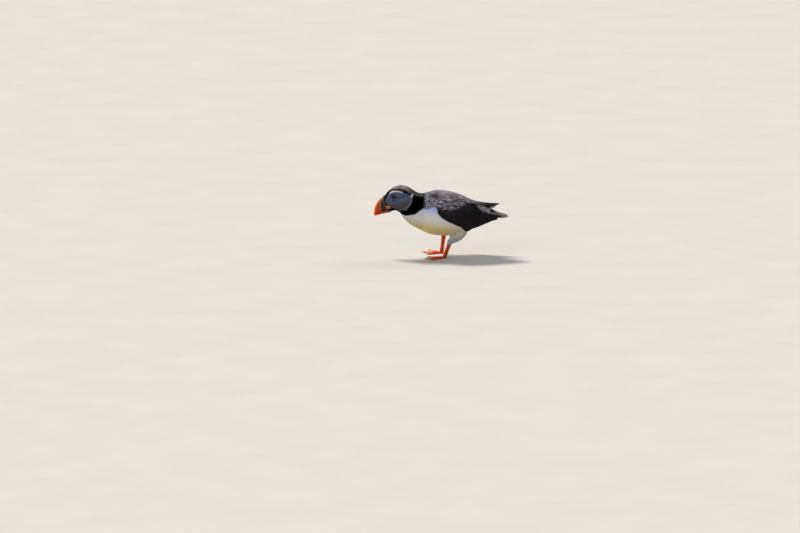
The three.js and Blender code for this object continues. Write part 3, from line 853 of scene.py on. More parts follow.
def mark(surface, points, shares):
    """Stores the markings: distances to the borders, and the strength of each tint, painted light and shade
    among them.
    """
    side_view = points[:, 1:] / MM
    y, z = side_view.T
    off_middle_mm = np.abs(points[:, 0]) / MM
    wing = share_of(shares, "wing_left_coverts", "wing_right_coverts")
    thigh = share_of(shares, "thigh_left", "thigh_right")

    over_the_bird = np.array([(160, 300), (-200, 300), (-200, 40)])
    hood = np.vstack([curve_through(HOOD_LINE_MM), over_the_bird])
    hood_mm = np.clip(border_distance(side_view, hood), -20, 20)
    hood_mm = np.maximum(hood_mm, (wing - 0.5) * 8)
    surface.store("hood_mm", hood_mm)
    face = curve_through(FACE_LOOP_MM, closed=True)
    face_mm = np.clip(border_distance(side_view, face), -20, 20)
    # Towards the middle line the face patch ends before it meets the other side's.
    middle = 4.5 + 3 * smoothstep(100, 95, z)
    face_mm = np.minimum(face_mm, (off_middle_mm - middle) * 1.2)
    surface.store("face_mm", face_mm)

    # Where this is 0, high on the breast by the hood, the painted sky-blue shade shows.
    surface.store("breast", np.maximum(smoothstep(104, 88, z + 0.12 * y), smoothstep(20, 50, y)))
    # A painted warm reflection on the belly, weaker towards the rear.
    surface.store("belly", smoothstep(82, 56, z + 0.12 * y) * (1 - 0.5 * smoothstep(5, 40, y)))
    surface.store("thigh", smoothstep(0.2, 0.8, thigh) * smoothstep(60, 38, z))
    scapulars = np.array(SCAPULAR_LINE_MM)
    below = np.interp(y, scapulars[:, 0], scapulars[:, 1]) - z
    to_rear = smoothstep(30, 50, y)
    on_wing = smoothstep(0.35 - 0.25 * to_rear, 0.75 - 0.35 * to_rear, wing)
    surface.store("wing", on_wing * smoothstep(-2.5, 2.5, below))
    crown = curve_through(CROWN_LINE_MM)
    above = z - np.interp(y, crown[:, 0], crown[:, 1])
    nape = 0.7 * smoothstep(-74, -60, y)
    surface.store("crown", smoothstep(-1.5, 3.5, above) * smoothstep(-36, -44, y) * (1 - nape))
    # Silver on the mantle, partly worn edges and partly painted sheen, grows towards the front of the back
    # and in soft spots.
    worn = 0.15 + 0.6 * smoothstep(78, 34, y)
    for middle_y, middle_z, half_y, half_z, share in WORN_AND_SHEEN_MM:
        worn += share * np.exp(-((y - middle_y) / half_y) ** 2 - ((z - middle_z) / half_z) ** 2)
    surface.store("worn", worn.clip(0, 1.3))
    surface.store("mantle", smoothstep(-40, -33, y))
    surface.store("rump", smoothstep(52, 78, y))
    # The lower rear of the face is painted darker, as shade.
    surface.store("cheek", smoothstep(120, 106, z - 0.25 * (y + 80)))

    # A painted highlight runs as a white line over the eye along the face's upper edge, with a spot at its
    # rear corner and a faint line on down the rear edge of the face.
    rim_top = 1.4 * np.exp(-((face_mm - 0.4) / 0.95) ** 2)
    rim_top = rim_top * smoothstep(-107, -101, y) * smoothstep(-77, -82, y)
    corner = np.exp(-(((y + 60.6 - 0.3 * (z - 127)) / 1.7) ** 4 + ((z - 127) / 3.4) ** 4))
    rim_back = 0.32 * np.exp(-((face_mm + 0.2) / 0.7) ** 2)
    rim_back = rim_back * smoothstep(-84, -70, y) * smoothstep(125, 119, z)
    rim_highlight = rim_top * smoothstep(124, 129, z) + corner + rim_back * smoothstep(94, 99, z)
    surface.store("brow_line", np.clip(rim_highlight, 0, 1) * (off_middle_mm > 7))
    crease = nearest_on_line(side_view, curve_through(CREASE_MM))[0]
    fade = smoothstep(-60, -76, y)
    surface.store("crease", 0.8 * np.exp(-(crease / 0.8) ** 2) * fade * (off_middle_mm > 9))
    return face_mm


def wing_seams():
    """Balls that fill the notch between the top of each folded wing and the back."""
    balls = []
    back = surface_tree(["trunk"])[0]
    for key, side in SIDES.items():
        wing = np.array([v.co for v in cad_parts[f"wing_{key}_coverts"].data.vertices])
        outwards = Vector((side, 0, 1.4)).normalized()
        for y in np.arange(WING_SEAM_MM["front"], WING_SEAM_MM["rear"], WING_SEAM_MM["step"]) * MM:
            near = wing[np.abs(wing[:, 1] - y) < 3 * MM]
            if len(near):
                edge = Vector(near[np.argmax(near[:, 2])])
                middle = (edge + back.find_nearest(edge)[0]) / 2
                balls.append((middle - outwards * WING_SEAM_MM["sunk"] * MM, WING_SEAM_MM["radius"] * MM))
    return balls


def skin_fillers():
    """Balls that close the skin where bare parts leave it, and in the notches along the wings."""
    sockets = [
        (Vector((side * EYE_SOCKET_MM["x"], EYE_MM["y"], EYE_MM["z"])) * MM, EYE_SOCKET_MM["radius"] * MM)
        for side in SIDES.values()
    ]
    chin = [
        (Vector((x, CHIN_MM["y"], CHIN_MM["z"])) * MM, CHIN_MM["radius"] * MM) for x in CHIN_MM["across"]
    ]
    cuffs = []
    for key, (drop, size) in CUFFS_MM.items():
        low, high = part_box("tarsus_" + key)
        x, y, z = (low[0] + high[0]) / 2, high[1] - 5 * MM, high[2]
        cuffs += [(Vector((x, y, z)), (size + 0.2) * MM),
                  (Vector((x, y - drop * 0.3 * MM, z - drop * MM)), (size - 0.2) * MM)]
    vent = [(Vector((0, y, z)) * MM, radius * MM) for y, z, radius in VENT_MM]
    return sockets + chin + cuffs + vent + wing_seams()


def plumage_sizes(surface, points, shares, face_mm):
    """The depth of the plumage and the length of its feathers at each place, in mm."""
    y, z = points[:, 1] / MM, points[:, 2] / MM
    depth = shares @ np.array([part["depth"] for part in PLUMAGE_MM.values()])
    feather = shares @ np.array([part["feather"] for part in PLUMAGE_MM.values()])
    for sizes, zone in (
        (FACE_PLUMAGE_MM, smoothstep(-2.0, 1.0, face_mm)),
        (BILL_EDGE_PLUMAGE_MM, smoothstep(-96, -106, y + 0.35 * (z - 107))),
        (BREAST_PLUMAGE_MM, share_of(shares, "trunk") * smoothstep(112, 96, z)),
    ):
        depth += (sizes["depth"] - depth) * zone
        feather += (sizes["feather"] - feather) * zone
    return surface.averaged(depth, 10), surface.averaged(feather, 10)


def under_bill(surface, points, normals):
    """1 where the head faces the bill, and so has to reach under its edge for no gap to show."""
    bill = surface_tree(["bill_cere", "bill_lower_base"])[0]
    tucked = np.zeros(surface.count)
    for i, (point, normal) in enumerate(zip(points, normals)):
        spot, _, _, away = bill.find_nearest(Vector(point))
        if away < 1.6 * MM and (spot - Vector(point)).dot(Vector(normal)) > 0.5 * away:
            tucked[i] = 1
    return surface.averaged(tucked, 2)


def make_skin():
    """The one skin under the plumage, with the lie, length and colour of every place on it."""
    surface = Surface(fused("skin", FLESH, SKIN_VOXEL, smoothing=12, fillers=skin_fillers()))
    names = list(PLUMAGE_MM)
    shares = part_shares(surface, names)
    points, normals = surface.points(), surface.normals()
    face_mm = mark(surface, points, shares)
    depth, feather = plumage_sizes(surface, points, shares, face_mm)
    side_view = points[:, 1:] / MM
    inwards = depth + SKIN_SINK_MM - BILL_TUCK_MM * under_bill(surface, points, normals)
    fold = nearest_on_line(side_view, curve_through(FOLD_MM))[0]
    inwards += 0.35 * np.exp(-(fold / 2.6) ** 2) * (1 - share_of(shares, "thigh_left"))
    crease = nearest_on_line(side_view, curve_through(CREASE_MM))[0]
    crease_depth = 0.5 * np.exp(-(crease / 1.3) ** 2) * smoothstep(-62, -80, side_view[:, 0])
    points -= normals * (inwards + crease_depth * (np.abs(points[:, 0]) > 9 * MM))[:, None] * MM
    surface.move(points)
    normals = unit(surface.averaged(surface.normals(), 3))
    # Feathers are shorter in a hollow, where long ones would cross.
    hollow = ((surface.averaged(points, 12) - points) * normals).sum(axis=1) / MM
    hollow = surface.averaged(hollow.clip(0, 1), 4)
    feather *= 1 - 0.75 * smoothstep(0.04, 0.18, hollow)
    turn, along = unwrap_of(points, shares)
    for name, values in (
        ("outward", normals), ("lie", lie_of_feathers(surface, points, normals, shares)),
        ("depth", depth * MM), ("feather", feather * MM), ("turn", np.column_stack([turn, along])),
    ):
        surface.store(name, values)
    return surface, dict(zip(names, shares.T)), face_mm


# ---- coat ------------------------------------------------------------------------------------------------

def tuft_shape(name, rows, blunt):
    """A closed, thin feather of unit size: root at the origin, lying along +Y, a low ridge over a flat base.

    Attributes say how far along and across each point is; rise is its share of the coat's depth.
    """
    bm = bmesh.new()
    carried = {"along": [], "across": [], "rise": []}

    def point(along, half_width, edge, lift):
        for key, value in (("along", along), ("across", edge), ("rise", lift)):
            carried[key].append(value)
        return bm.verts.new((half_width * edge, along, 0))

    last = None
    for row in range(rows):
        y = row / rows
        width = 0.35 + 0.65 * math.sin(math.pi * min(1, 0.12 + y * 0.95)) ** 0.8
        if row == rows - 1:
            width *= blunt
        lift = -0.4 + 1.05 * min(1, y / 0.5) ** 0.8 + 0.15 * y
        ring = [point(y, width / 2, edge, lift + (-0.1 if edge else 0.03)) for edge in (-1.0, 0.0, 1.0)]
        if last:
            for i in range(3):
                bm.faces.new((last[i], last[(i + 1) % 3], ring[(i + 1) % 3], ring[i]))
        else:
            bm.faces.new(reversed(ring))
        last = ring
    tip = point(1.0, 0.0, 0.0, 0.72)
    for i in range(3):
        bm.faces.new((last[i], last[(i + 1) % 3], tip))
    bmesh.ops.recalc_face_normals(bm, faces=bm.faces)
    mesh = bpy.data.meshes.new(name)
    bm.to_mesh(mesh)
    bm.free()
    for key, values in carried.items():
        mesh.attributes.new(key, "FLOAT", "POINT").data.foreach_set("value", values)
    return bpy.data.objects.new(name, mesh)


def coat_tree():
    """Sows feathers over one zone of the skin, lays them along its lie and bends them to its form."""
    tree = bpy.data.node_groups.new("feather_coat", "GeometryNodeTree")
    tree.is_modifier = True
    sockets = tree.interface
    sockets.new_socket("Skin", in_out="INPUT", socket_type="NodeSocketGeometry")
    for name, kind in (("Feather", "Object"), ("Zone", "String"), ("Spacing", "Float"), ("Width", "Float"),
                       ("Wander", "Float"), ("Evenness", "Float"), ("Seed", "Int"),
                       ("Unwrap From", "Vector"), ("Unwrap Size", "Vector"), ("Finish", "Material")):
        sockets.new_socket(name, in_out="INPUT", socket_type="NodeSocket" + kind)
    sockets.new_socket("Coat", in_out="OUTPUT", socket_type="NodeSocketGeometry")
    given = tree.nodes.new("NodeGroupInput").outputs

    told = {}
    for name, kind in (("outward", "FLOAT_VECTOR"), ("lie", "FLOAT_VECTOR"), ("turn", "FLOAT_VECTOR"),
                       ("feather", "FLOAT"), ("rise", "FLOAT"), ("layer", "FLOAT"), ("depth", "FLOAT"),
                       ("along", "FLOAT"), ("across", "FLOAT")):
        told[name] = add(tree, "GeometryNodeInputNamedAttribute", {"Name": name}, data_type=kind)
    # A random number for each feather, with its own seed for each use.
    drawn = {}
    for offset, (name, low, high) in enumerate((("wander", -1, 1), ("length", 0.8, 1.2), ("width", 0.8, 1.2),
                                                ("tone", 0, 1), ("layer", 0.82, 1.0)), start=1):
        seed = add(tree, "ShaderNodeMath", {0: given["Seed"], 1: offset}, operation="ADD")
        drawn[name] = add(tree, "FunctionNodeRandomValue", {2: low, 3: high, 8: seed}, out=1)

    zone = add(tree, "GeometryNodeInputNamedAttribute", {"Name": given["Zone"]}, data_type="FLOAT")
    area = add(tree, "ShaderNodeMath", {0: given["Spacing"], 1: given["Spacing"]}, operation="MULTIPLY")
    crowd = add(tree, "ShaderNodeMath", {0: 1.3, 1: area}, operation="DIVIDE")
    sown = add(tree, "GeometryNodeDistributePointsOnFaces",
               {"Mesh": given["Skin"], "Distance Min": given["Spacing"], "Density Max": crowd,
                "Density Factor": zone, "Seed": given["Seed"]}, distribute_method="POISSON")
    facing = add(tree, "FunctionNodeAxesToRotation", {0: told["outward"], 1: told["lie"]},
                 primary_axis="Z", secondary_axis="Y")
    angle = add(tree, "ShaderNodeMath", {0: given["Wander"], 1: drawn["wander"]}, operation="MULTIPLY")
    wander = add(tree, "FunctionNodeAxisAngleToRotation", {"Axis": (0, 0, 1), "Angle": angle})
    turned = add(tree, "FunctionNodeRotateRotation", {0: facing, 1: wander}, rotation_space="LOCAL")
    length = add(tree, "ShaderNodeMath", {0: told["feather"], 1: drawn["length"]}, operation="MULTIPLY")
    width = add(tree, "ShaderNodeMath", {0: length, 1: given["Width"]}, operation="MULTIPLY")
    width = add(tree, "ShaderNodeMath", {0: width, 1: drawn["width"]}, operation="MULTIPLY")
    size = add(tree, "ShaderNodeCombineXYZ", {0: width, 1: length, 2: length})
    feather = add(tree, "GeometryNodeObjectInfo", {"Object": given["Feather"], "As Instance": True},
                  out="Geometry")
    kept = add(tree, "GeometryNodeInstanceOnPoints",
               {"Points": sown, "Instance": feather, "Rotation": turned, "Scale": size})
    for name in ("tone", "layer"):
        kept = add(tree, "GeometryNodeStoreNamedAttribute",
                   {"Geometry": kept, "Name": name, "Value": drawn[name]},
                   data_type="FLOAT", domain="INSTANCE")
    loose = add(tree, "GeometryNodeRealizeInstances", {"Geometry": kept})

    here = add(tree, "GeometryNodeInputPosition")
    nearest = {}
    for name, value in (("place", here), ("outward", told["outward"])):
        nearest[name] = add(tree, "GeometryNodeSampleNearestSurface",
                            {"Mesh": given["Skin"], "Value": value, "Sample Position": here},
                            data_type="FLOAT_VECTOR")
    lift = add(tree, "ShaderNodeMath", {0: told["rise"], 1: told["layer"]}, operation="MULTIPLY")
    lift = add(tree, "ShaderNodeMath", {0: lift, 1: told["depth"]}, operation="MULTIPLY")
    raised = add(tree, "ShaderNodeVectorMath", {0: nearest["outward"], "Scale": lift}, operation="SCALE")
    place = add(tree, "ShaderNodeVectorMath", {0: nearest["place"], 1: raised}, operation="ADD")
    bent = add(tree, "GeometryNodeSetPosition", {"Geometry": loose, "Position": place})

    # Each feather bakes into a small patch at its root's place on the unwrap of the skin.
    turn = [add(tree, "ShaderNodeSeparateXYZ", {0: told["turn"]}, out=axis) for axis in range(3)]
    angle = add(tree, "ShaderNodeMath", {0: turn[0], 1: turn[1]}, operation="ARCTAN2")
    angle = add(tree, "ShaderNodeMath", {0: angle, 1: 1 / math.tau, 2: 0.5}, operation="MULTIPLY_ADD")
    spot = add(tree, "ShaderNodeCombineXYZ", {0: angle, 1: turn[2]})
    start = add(tree, "ShaderNodeVectorMath", {0: spot, 1: given["Unwrap From"]}, operation="SUBTRACT")
    fitted = add(tree, "ShaderNodeVectorMath", {0: start, 1: given["Unwrap Size"]}, operation="DIVIDE")
    patch_across = add(tree, "ShaderNodeMath", {0: told["across"], 1: BAKE_PATCH / 2}, operation="MULTIPLY")
    patch_along = add(tree, "ShaderNodeMath", {0: told["along"], 1: BAKE_PATCH, 2: -BAKE_PATCH / 2},
                      operation="MULTIPLY_ADD")
    patch = add(tree, "ShaderNodeCombineXYZ", {0: patch_across, 1: patch_along})
    tucked = add(tree, "ShaderNodeVectorMath", {0: fitted, 1: patch}, operation="ADD")
    mapped = add(tree, "GeometryNodeStoreNamedAttribute",
                 {"Geometry": bent, "Name": "OFBake", "Value": tucked}, data_type="FLOAT2", domain="CORNER")
    soft = add(tree, "GeometryNodeSetShadeSmooth", {"Geometry": mapped})
    # Feathers catch the light much as the body under them does, so that their edges hardly show.
    own = add(tree, "GeometryNodeInputNormal")
    agreement = add(tree, "ShaderNodeVectorMath", {0: own, 1: nearest["outward"]}, out="Value",
                    operation="DOT_PRODUCT")
    evened = add(tree, "ShaderNodeMapRange", {"Value": agreement, "From Min": -0.5, "From Max": 0.0})
    evened = add(tree, "ShaderNodeMath", {0: evened, 1: given["Evenness"]}, operation="MULTIPLY")
    facing_out = add(tree, "ShaderNodeMix", {0: evened, 4: own, 5: nearest["outward"]}, out=1,
                     data_type="VECTOR")
    facing_out = add(tree, "ShaderNodeVectorMath", {0: facing_out}, operation="NORMALIZE")
    lit = add(tree, "GeometryNodeSetMeshNormal", {"Mesh": soft, "Custom Normal": facing_out}, mode="FREE")
    dressed = add(tree, "GeometryNodeSetMaterial", {"Geometry": lit, "Material": given["Finish"]})
    add(tree, "NodeGroupOutput", {"Coat": dressed})
    return tree


def sow(tree, name, skin, zone, feather, finish, slot, seed):
    """One coat piece: the feathers of one zone, as a plain mesh."""
    zone_name = "zone_" + name
    surface = Surface(skin.data)
    surface.store(zone_name, zone)
    turn = surface.stored("turn")[zone > 0.05]
    angle = np.arctan2(turn[:, 0], turn[:, 1]) / math.tau + 0.5
    margin = 0.004
    low = np.array([angle.min() - margin, turn[:, 2].min() * (1 - margin) - 1e-4, -0.5])
    high = np.array([angle.max() + margin, turn[:, 2].max() * (1 + margin) + 1e-4, 0.5])
    sizes = COAT_FEATHERS[name]
    values = {
        "Feather": feather, "Zone": zone_name, "Spacing": sizes["spacing_mm"] * MM, "Width": sizes["width"],
        "Wander": sizes["wander"], "Evenness": EVENNESS, "Seed": seed, "Unwrap From": low,
        "Unwrap Size": high - low, "Finish": finish,
    }
    sower = skin.modifiers.new(name, "NODES")
    sower.node_group = tree
    for item in tree.interface.items_tree:
        if item.in_out == "INPUT" and item.name in values:
            value = values[item.name]
            sower[item.identifier] = list(value) if isinstance(value, np.ndarray) else value
    mesh = plain_copy(skin)
    skin.modifiers.remove(sower)
    mesh.name = name
    for spare in (zone_name, "turn", "layer", "rise", "lie", "outward", "feather", "depth"):
        if spare in mesh.attributes:
            mesh.attributes.remove(mesh.attributes[spare])
    skin.data.attributes.remove(skin.data.attributes[zone_name])
    finish_piece(show(name, mesh), None, slot)


def looks_out(tree, place, normal, ray_mm):
    """True where nothing of a tree lies over a place: the ray starts off it by so much and is so long."""
    offset, length = ray_mm
    return tree.ray_cast(place + normal * offset * MM, normal, length * MM)[0] is None


def exposed_share(surface, skin, blockers, on_body, on_wing):
    """1 where a place can be seen from outside, 0 where another surface lies close over it or its feather."""
    tree = BVHTree.FromObject(skin, bpy.context.evaluated_depsgraph_get())
    other = surface_tree(blockers)[0]
    reach = (TIP_REACH_MM["body"] + (TIP_REACH_MM["wing"] - TIP_REACH_MM["body"]) * on_wing) * MM
    points, normals = surface.points(), surface.normals()
    tips = points + surface.stored("lie") * reach[:, None]
    seen = np.ones(surface.count)
    for i in range(surface.count):
        place, normal, tip = Vector(points[i]), Vector(normals[i]), Vector(tips[i])
        bare = looks_out(tree, place, normal, SKIN_RAY_MM) and looks_out(other, place, normal, PART_RAY_MM)
        # A feather that would cross into a sharp fold is left out.
        if on_body[i] + on_wing[i] > 0.5:
            bare = bare and not tree.find_nearest(tip)[1].dot(normal) < 0.5
        if on_body[i] > 0.5:
            bare = bare and looks_out(other, tip, normal, TIP_RAY_MM)
        if on_wing[i] > 0.5:
            bare = bare and not other.find_nearest(tip)[3] < TIP_GAP_MM * MM
        seen[i] = bare
    return surface.averaged(seen, 2)


def make_coat(surface, shares, face_mm):
    """The coat in pieces, finest on the face and longest on the back."""
    skin = show("skin", surface.mesh)
    finish_piece(skin, bare_skin(), "dark_plumage", *FLESH)
    small = tuft_shape("small_tuft", rows=2, blunt=0.9)
    broad = tuft_shape("contour_feather", rows=4, blunt=0.85)
    tree = coat_tree()
    velvet = plumage("velvet_head_plumage", barbs=3, fringe=0.0, sheen=0.0, shaft_tone=0.1, gloss=0.0)
    silky = plumage("breast_plumage", barbs=9, fringe=0.0, sheen=0.1, variety=0.08, shaft_tone=0.0,
                    roughness=0.8)
    sooty = plumage("sooty_back_plumage", barbs=9, fringe=0.6, sheen=0.25)
    black = plumage("black_wing_coverts", barbs=9, fringe=0.14, sheen=0.03)
    blockers = [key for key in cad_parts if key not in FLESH]
    on_face = smoothstep(-0.8, -0.2, face_mm) * shares["head"]
    body = shares["trunk"] + shares["rump"]
    wings = shares["wing_left_coverts"] + shares["wing_right_coverts"]
    seen = exposed_share(surface, skin, blockers, body, wings)
    body = np.clip(body, 0, 1)
    pale = smoothstep(1.5, -0.5, surface.stored("hood_mm"))
    front = smoothstep(10, 6, surface.points()[:, 1] / MM)
    sown = [
        ("coat_face", on_face, small, velvet, "pale_plumage"),
        ("coat_head", shares["head"] * (1 - on_face), small, velvet, "dark_plumage"),
        ("coat_neck", shares["neck"], small, velvet, "dark_plumage"),
        ("coat_breast", body * pale * front, broad, silky, "pale_plumage"),
        ("coat_belly", body * pale * (1 - front), broad, silky, "pale_plumage"),
        ("coat_back", body * (1 - pale), broad, sooty, "dark_plumage"),
        ("coat_thigh_left", shares["thigh_left"], broad, silky, "pale_plumage"),
        ("coat_thigh_right", shares["thigh_right"], broad, silky, "pale_plumage"),
        ("coat_wing_left", shares["wing_left_coverts"], broad, black, "dark_plumage"),
        ("coat_wing_right", shares["wing_right_coverts"], broad, black, "dark_plumage"),
    ]
    for seed, (name, zone, feather, finish, slot) in enumerate(sown, start=FIRST_SEED):
        sow(tree, name, skin, zone * seen, feather, finish, slot, seed)
    for name in ("turn", "lie", "outward", "feather", "depth"):
        skin.data.attributes.remove(skin.data.attributes[name])
    for spare in (small, broad):
        discard(spare)
    bpy.data.node_groups.remove(tree)
    return skin


# ---- flight feathers and tail ----------------------------------------------------------------------------

class Field:
    """Heights of a surface over a plane, sampled by rays and carried on smoothly past its edges."""

    def __init__(self, tree, across, along, out, low, high, step):
        """Samples a tree from outside over low to high, in steps along two directions; no outline yet."""
        self.low, self.step = np.array(low, float), step
        self.shape = tuple(np.ceil((np.array(high) - low) / step).astype(int) + 1)
        self.height = np.full(self.shape, np.nan)
        self.across, self.along, self.out = (Vector(v) for v in (across, along, out))
        well_outside = self.out * 0.3
        for i, j in np.ndindex(*self.shape):
            a, b = self.low + np.array([i, j]) * step
            start = self.across * a + self.along * b + well_outside
            hit = tree.ray_cast(start, -self.out)[0]
            if hit is not None:
                self.height[i, j] = hit.dot(self.out)
        self.spread()
        self.columns = self.low[0] + np.arange(self.shape[0]) * step
        self.lows = np.full(self.shape[0], -1.0)
        self.highs = np.full(self.shape[0], 1.0)

    def spread(self):
        """Fills the places that no ray hit from their neighbours, and then eases them."""
        known = self.height.copy()
        while np.isnan(known).any():
            padded = np.pad(known, 1, constant_values=np.nan)
            around = np.stack([padded[1:-1, :-2], padded[1:-1, 2:], padded[:-2, 1:-1], padded[2:, 1:-1]])
            filled = ~np.isnan(around)
            total = np.where(filled, around, 0).sum(axis=0)
            empty = np.isnan(known) & filled.any(axis=0)
            known[empty] = (total / filled.sum(axis=0).clip(1))[empty]
        for _ in range(3):
            padded = np.pad(known, 1, mode="edge")
            known = (padded[1:-1, :-2] + padded[1:-1, 2:] + padded[:-2, 1:-1] + padded[2:, 1:-1]) / 4
        self.height = known

    def at(self, a, b):
        """The height of the surface over (a, b)."""
        i, j = np.clip((np.array([a, b]) - self.low) / self.step, 0, np.array(self.shape) - 1.001)
        i0, j0 = int(i), int(j)
        u, v = i - i0, j - j0
        h = self.height
        return ((h[i0, j0] * (1 - u) + h[i0 + 1, j0] * u) * (1 - v)
                + (h[i0, j0 + 1] * (1 - u) + h[i0 + 1, j0 + 1] * u) * v)

    def bound(self, points):
        """Takes the outline that feathers are held to from the points of a solid."""
        a, b = points @ np.array(self.across), points @ np.array(self.along)
        for edge, pick in ((self.lows, np.min), (self.highs, np.max)):
            for i, column in enumerate(self.columns):
                near = np.abs(a - column) < self.step * 0.75
                edge[i] = pick(b[near]) if near.any() else np.nan
            known = ~np.isnan(edge)
            edge[:] = np.interp(self.columns, self.columns[known], edge[known])
            edge[1:-1] = (edge[:-2] + edge[1:-1] + edge[2:]) / 3

    def edges(self, a):
        """The lower and upper edge of the outline at a."""
        return np.interp(a, self.columns, self.lows), np.interp(a, self.columns, self.highs)

    def point(self, a, b, lift):
        """A point over the surface at (a, b), drawn back towards the outline where it is past it."""
        low, high = self.edges(a)
        b -= OUTLINE_HOLD * (b - min(max(b, low), high))
        return self.across * a + self.along * b + self.out * (self.at(a, b) + lift)


def vane_width(t, pointed):
    """How wide a feather is along its length: narrow at the quill, full, then a round or a long tip."""
    quill = min(1.0, 0.3 + t / 0.18)
    start = 0.62 if pointed else 0.8
    if t <= start:
        return quill
    return quill * math.sqrt(max(0.02, 1 - ((t - start) / (1 - start)) ** 2))


class Feathers:
    """A set of closed vanes in one mesh, each with a strip of its own in the bake map."""

    def __init__(self, strips):
        self.bm = bmesh.new()
        self.uv = self.bm.loops.layers.uv.new("OFBake")
        self.layers = {
            key: self.bm.verts.layers.float.new(key) for key in ("along", "across", "tone", "pale", "rim")
        }
        self.strips, self.made = strips, 0

    def vane(self, field, path, width, lifts, pointed=False, pale=(0.0, 1.0), rim=0.12, rise=0.0):
        """One vane over a field. Path is its quill, bend and tip; lifts are the heights of its two edges;
        pale is how strongly its end is whitened by a painted highlight and where along it that begins, and
        rim how worn its margin is."""
        quill, bend, tip = (np.array(p, float) for p in path)
        seed = Vector((tip[0] * 900, tip[1] * 900, width * 500))
        tone = noise.noise(seed) * 0.5 + 0.5
        grid = []
        for row in range(VANE_ROWS):
            t = row / (VANE_ROWS - 1)
            centre = quill * (1 - t) ** 2 + bend * 2 * t * (1 - t) + tip * t ** 2
            heading = (bend - quill) * (1 - t) + (tip - bend) * t
            heading /= np.linalg.norm(heading)
            sideways = np.array([heading[1], -heading[0]])
            ragged = 1 - VANE_WAVINESS * abs(noise.noise(seed + Vector((t * 23, 0, 0))))
            half = width / 2 * vane_width(t, pointed) * ragged
            painted_highlight = pale[0] * smoothstep(pale[1], pale[1] + 0.25, t)
            line = []
            for u in VANE_COLUMNS:
                a, b = centre + sideways * half * u
                lift = lifts[0] + (lifts[1] - lifts[0]) * (u + 1) / 2
                lift = lift - VANE_MM["curl"] * MM * u * u + rise * t
                if abs(u) < 0.1:
                    lift += VANE_MM["shaft"] * MM * (1 - 0.7 * t)
                thick = VANE_MM["thick"] * MM * (1 - 0.6 * abs(u))
                carried = {"along": t, "across": u, "tone": tone, "pale": painted_highlight, "rim": rim}
                line.append([self.point(field.point(a, b, lift - down), carried) for down in (0, thick)])
            grid.append(line)
        self.skin_vane(grid)
        self.made += 1

    def point(self, place, carried):
        """A vertex with the numbers that it carries for the finish."""
        made = self.bm.verts.new(place)
        for key, value in carried.items():
            made[self.layers[key]] = value
        return made

    def skin_vane(self, grid):
        """Faces over and under a vane's grid of points, and round its rim."""
        rows, columns = len(grid), len(VANE_COLUMNS)
        for level in (0, 1):
            for i in range(rows - 1):
                for j in range(columns - 1):
                    corners = [(i, j), (i, j + 1), (i + 1, j + 1), (i + 1, j)]
                    self.face([(grid[a][b][level], a, b) for a, b in corners], level)
        rim = [(0, j) for j in range(columns)] + [(i, columns - 1) for i in range(1, rows)]
        rim += [(rows - 1, j) for j in range(columns - 2, -1, -1)] + [(i, 0) for i in range(rows - 2, 0, -1)]
        for here, there in zip(rim, rim[1:] + rim[:1]):
            corners = ((here, 0), (there, 0), (there, 1), (here, 1))
            self.face([(grid[a][b][level], a, b) for (a, b), level in corners], 0)

    def face(self, corners, level):
        """One face, mapped to the vane's strip: the upper side on its left, the under side on its right."""
        made = self.bm.faces.new([vert for vert, _, _ in corners])
        for loop, (_, row, column) in zip(made.loops, corners):
            across = (VANE_COLUMNS[column] + 1) / 2
            along = row / (VANE_ROWS - 1)
            cell = (self.made + 0.05 + 0.42 * (across + level * 1.1)) / self.strips
            loop[self.uv].uv = (cell, 0.02 + 0.96 * along)

    def piece(self, name):
        """All the vanes as one object."""
        bmesh.ops.recalc_face_normals(self.bm, faces=self.bm.faces)
        return from_bmesh(name, self.bm)


def even_shares(count):
    """Evenly spaced numbers from 0 to 1."""
    return [i / (count - 1) for i in range(count)]


def wing_field(key, side):
    """The folded wing's outer face over (y, z), with its outline in side view."""
    nodes = [f"wing_{key}_{part}" for part in ("coverts", "secondaries", "primaries")]
    form = fused("wing_form", nodes, 1.3 * MM, smoothing=10)
    corners = [v.co.copy() for v in form.vertices]
    tree = BVHTree.FromPolygons(corners, [p.vertices[:] for p in form.polygons])
    bpy.data.meshes.remove(form)
    field = Field(tree, across=(0, 1, 0), along=(0, 0, 1), out=(side, 0, 0),
                  low=np.array([-20, 44]) * MM, high=np.array([142, 134]) * MM, step=2.0 * MM)
    field.bound(np.array(corners))
    return field


def aimed(tip, degrees, length, sag):
    """A quill, bend and tip for a feather that ends at tip, pointing down by an angle at its end."""
    tip = np.array(tip, float)
    turn = math.radians(degrees)
    back = np.array([-math.cos(turn), math.sin(turn)])
    over = np.array([math.sin(turn), math.cos(turn)])
    return tip + back * length, tip + back * length * 0.45 + over * length * sag, tip


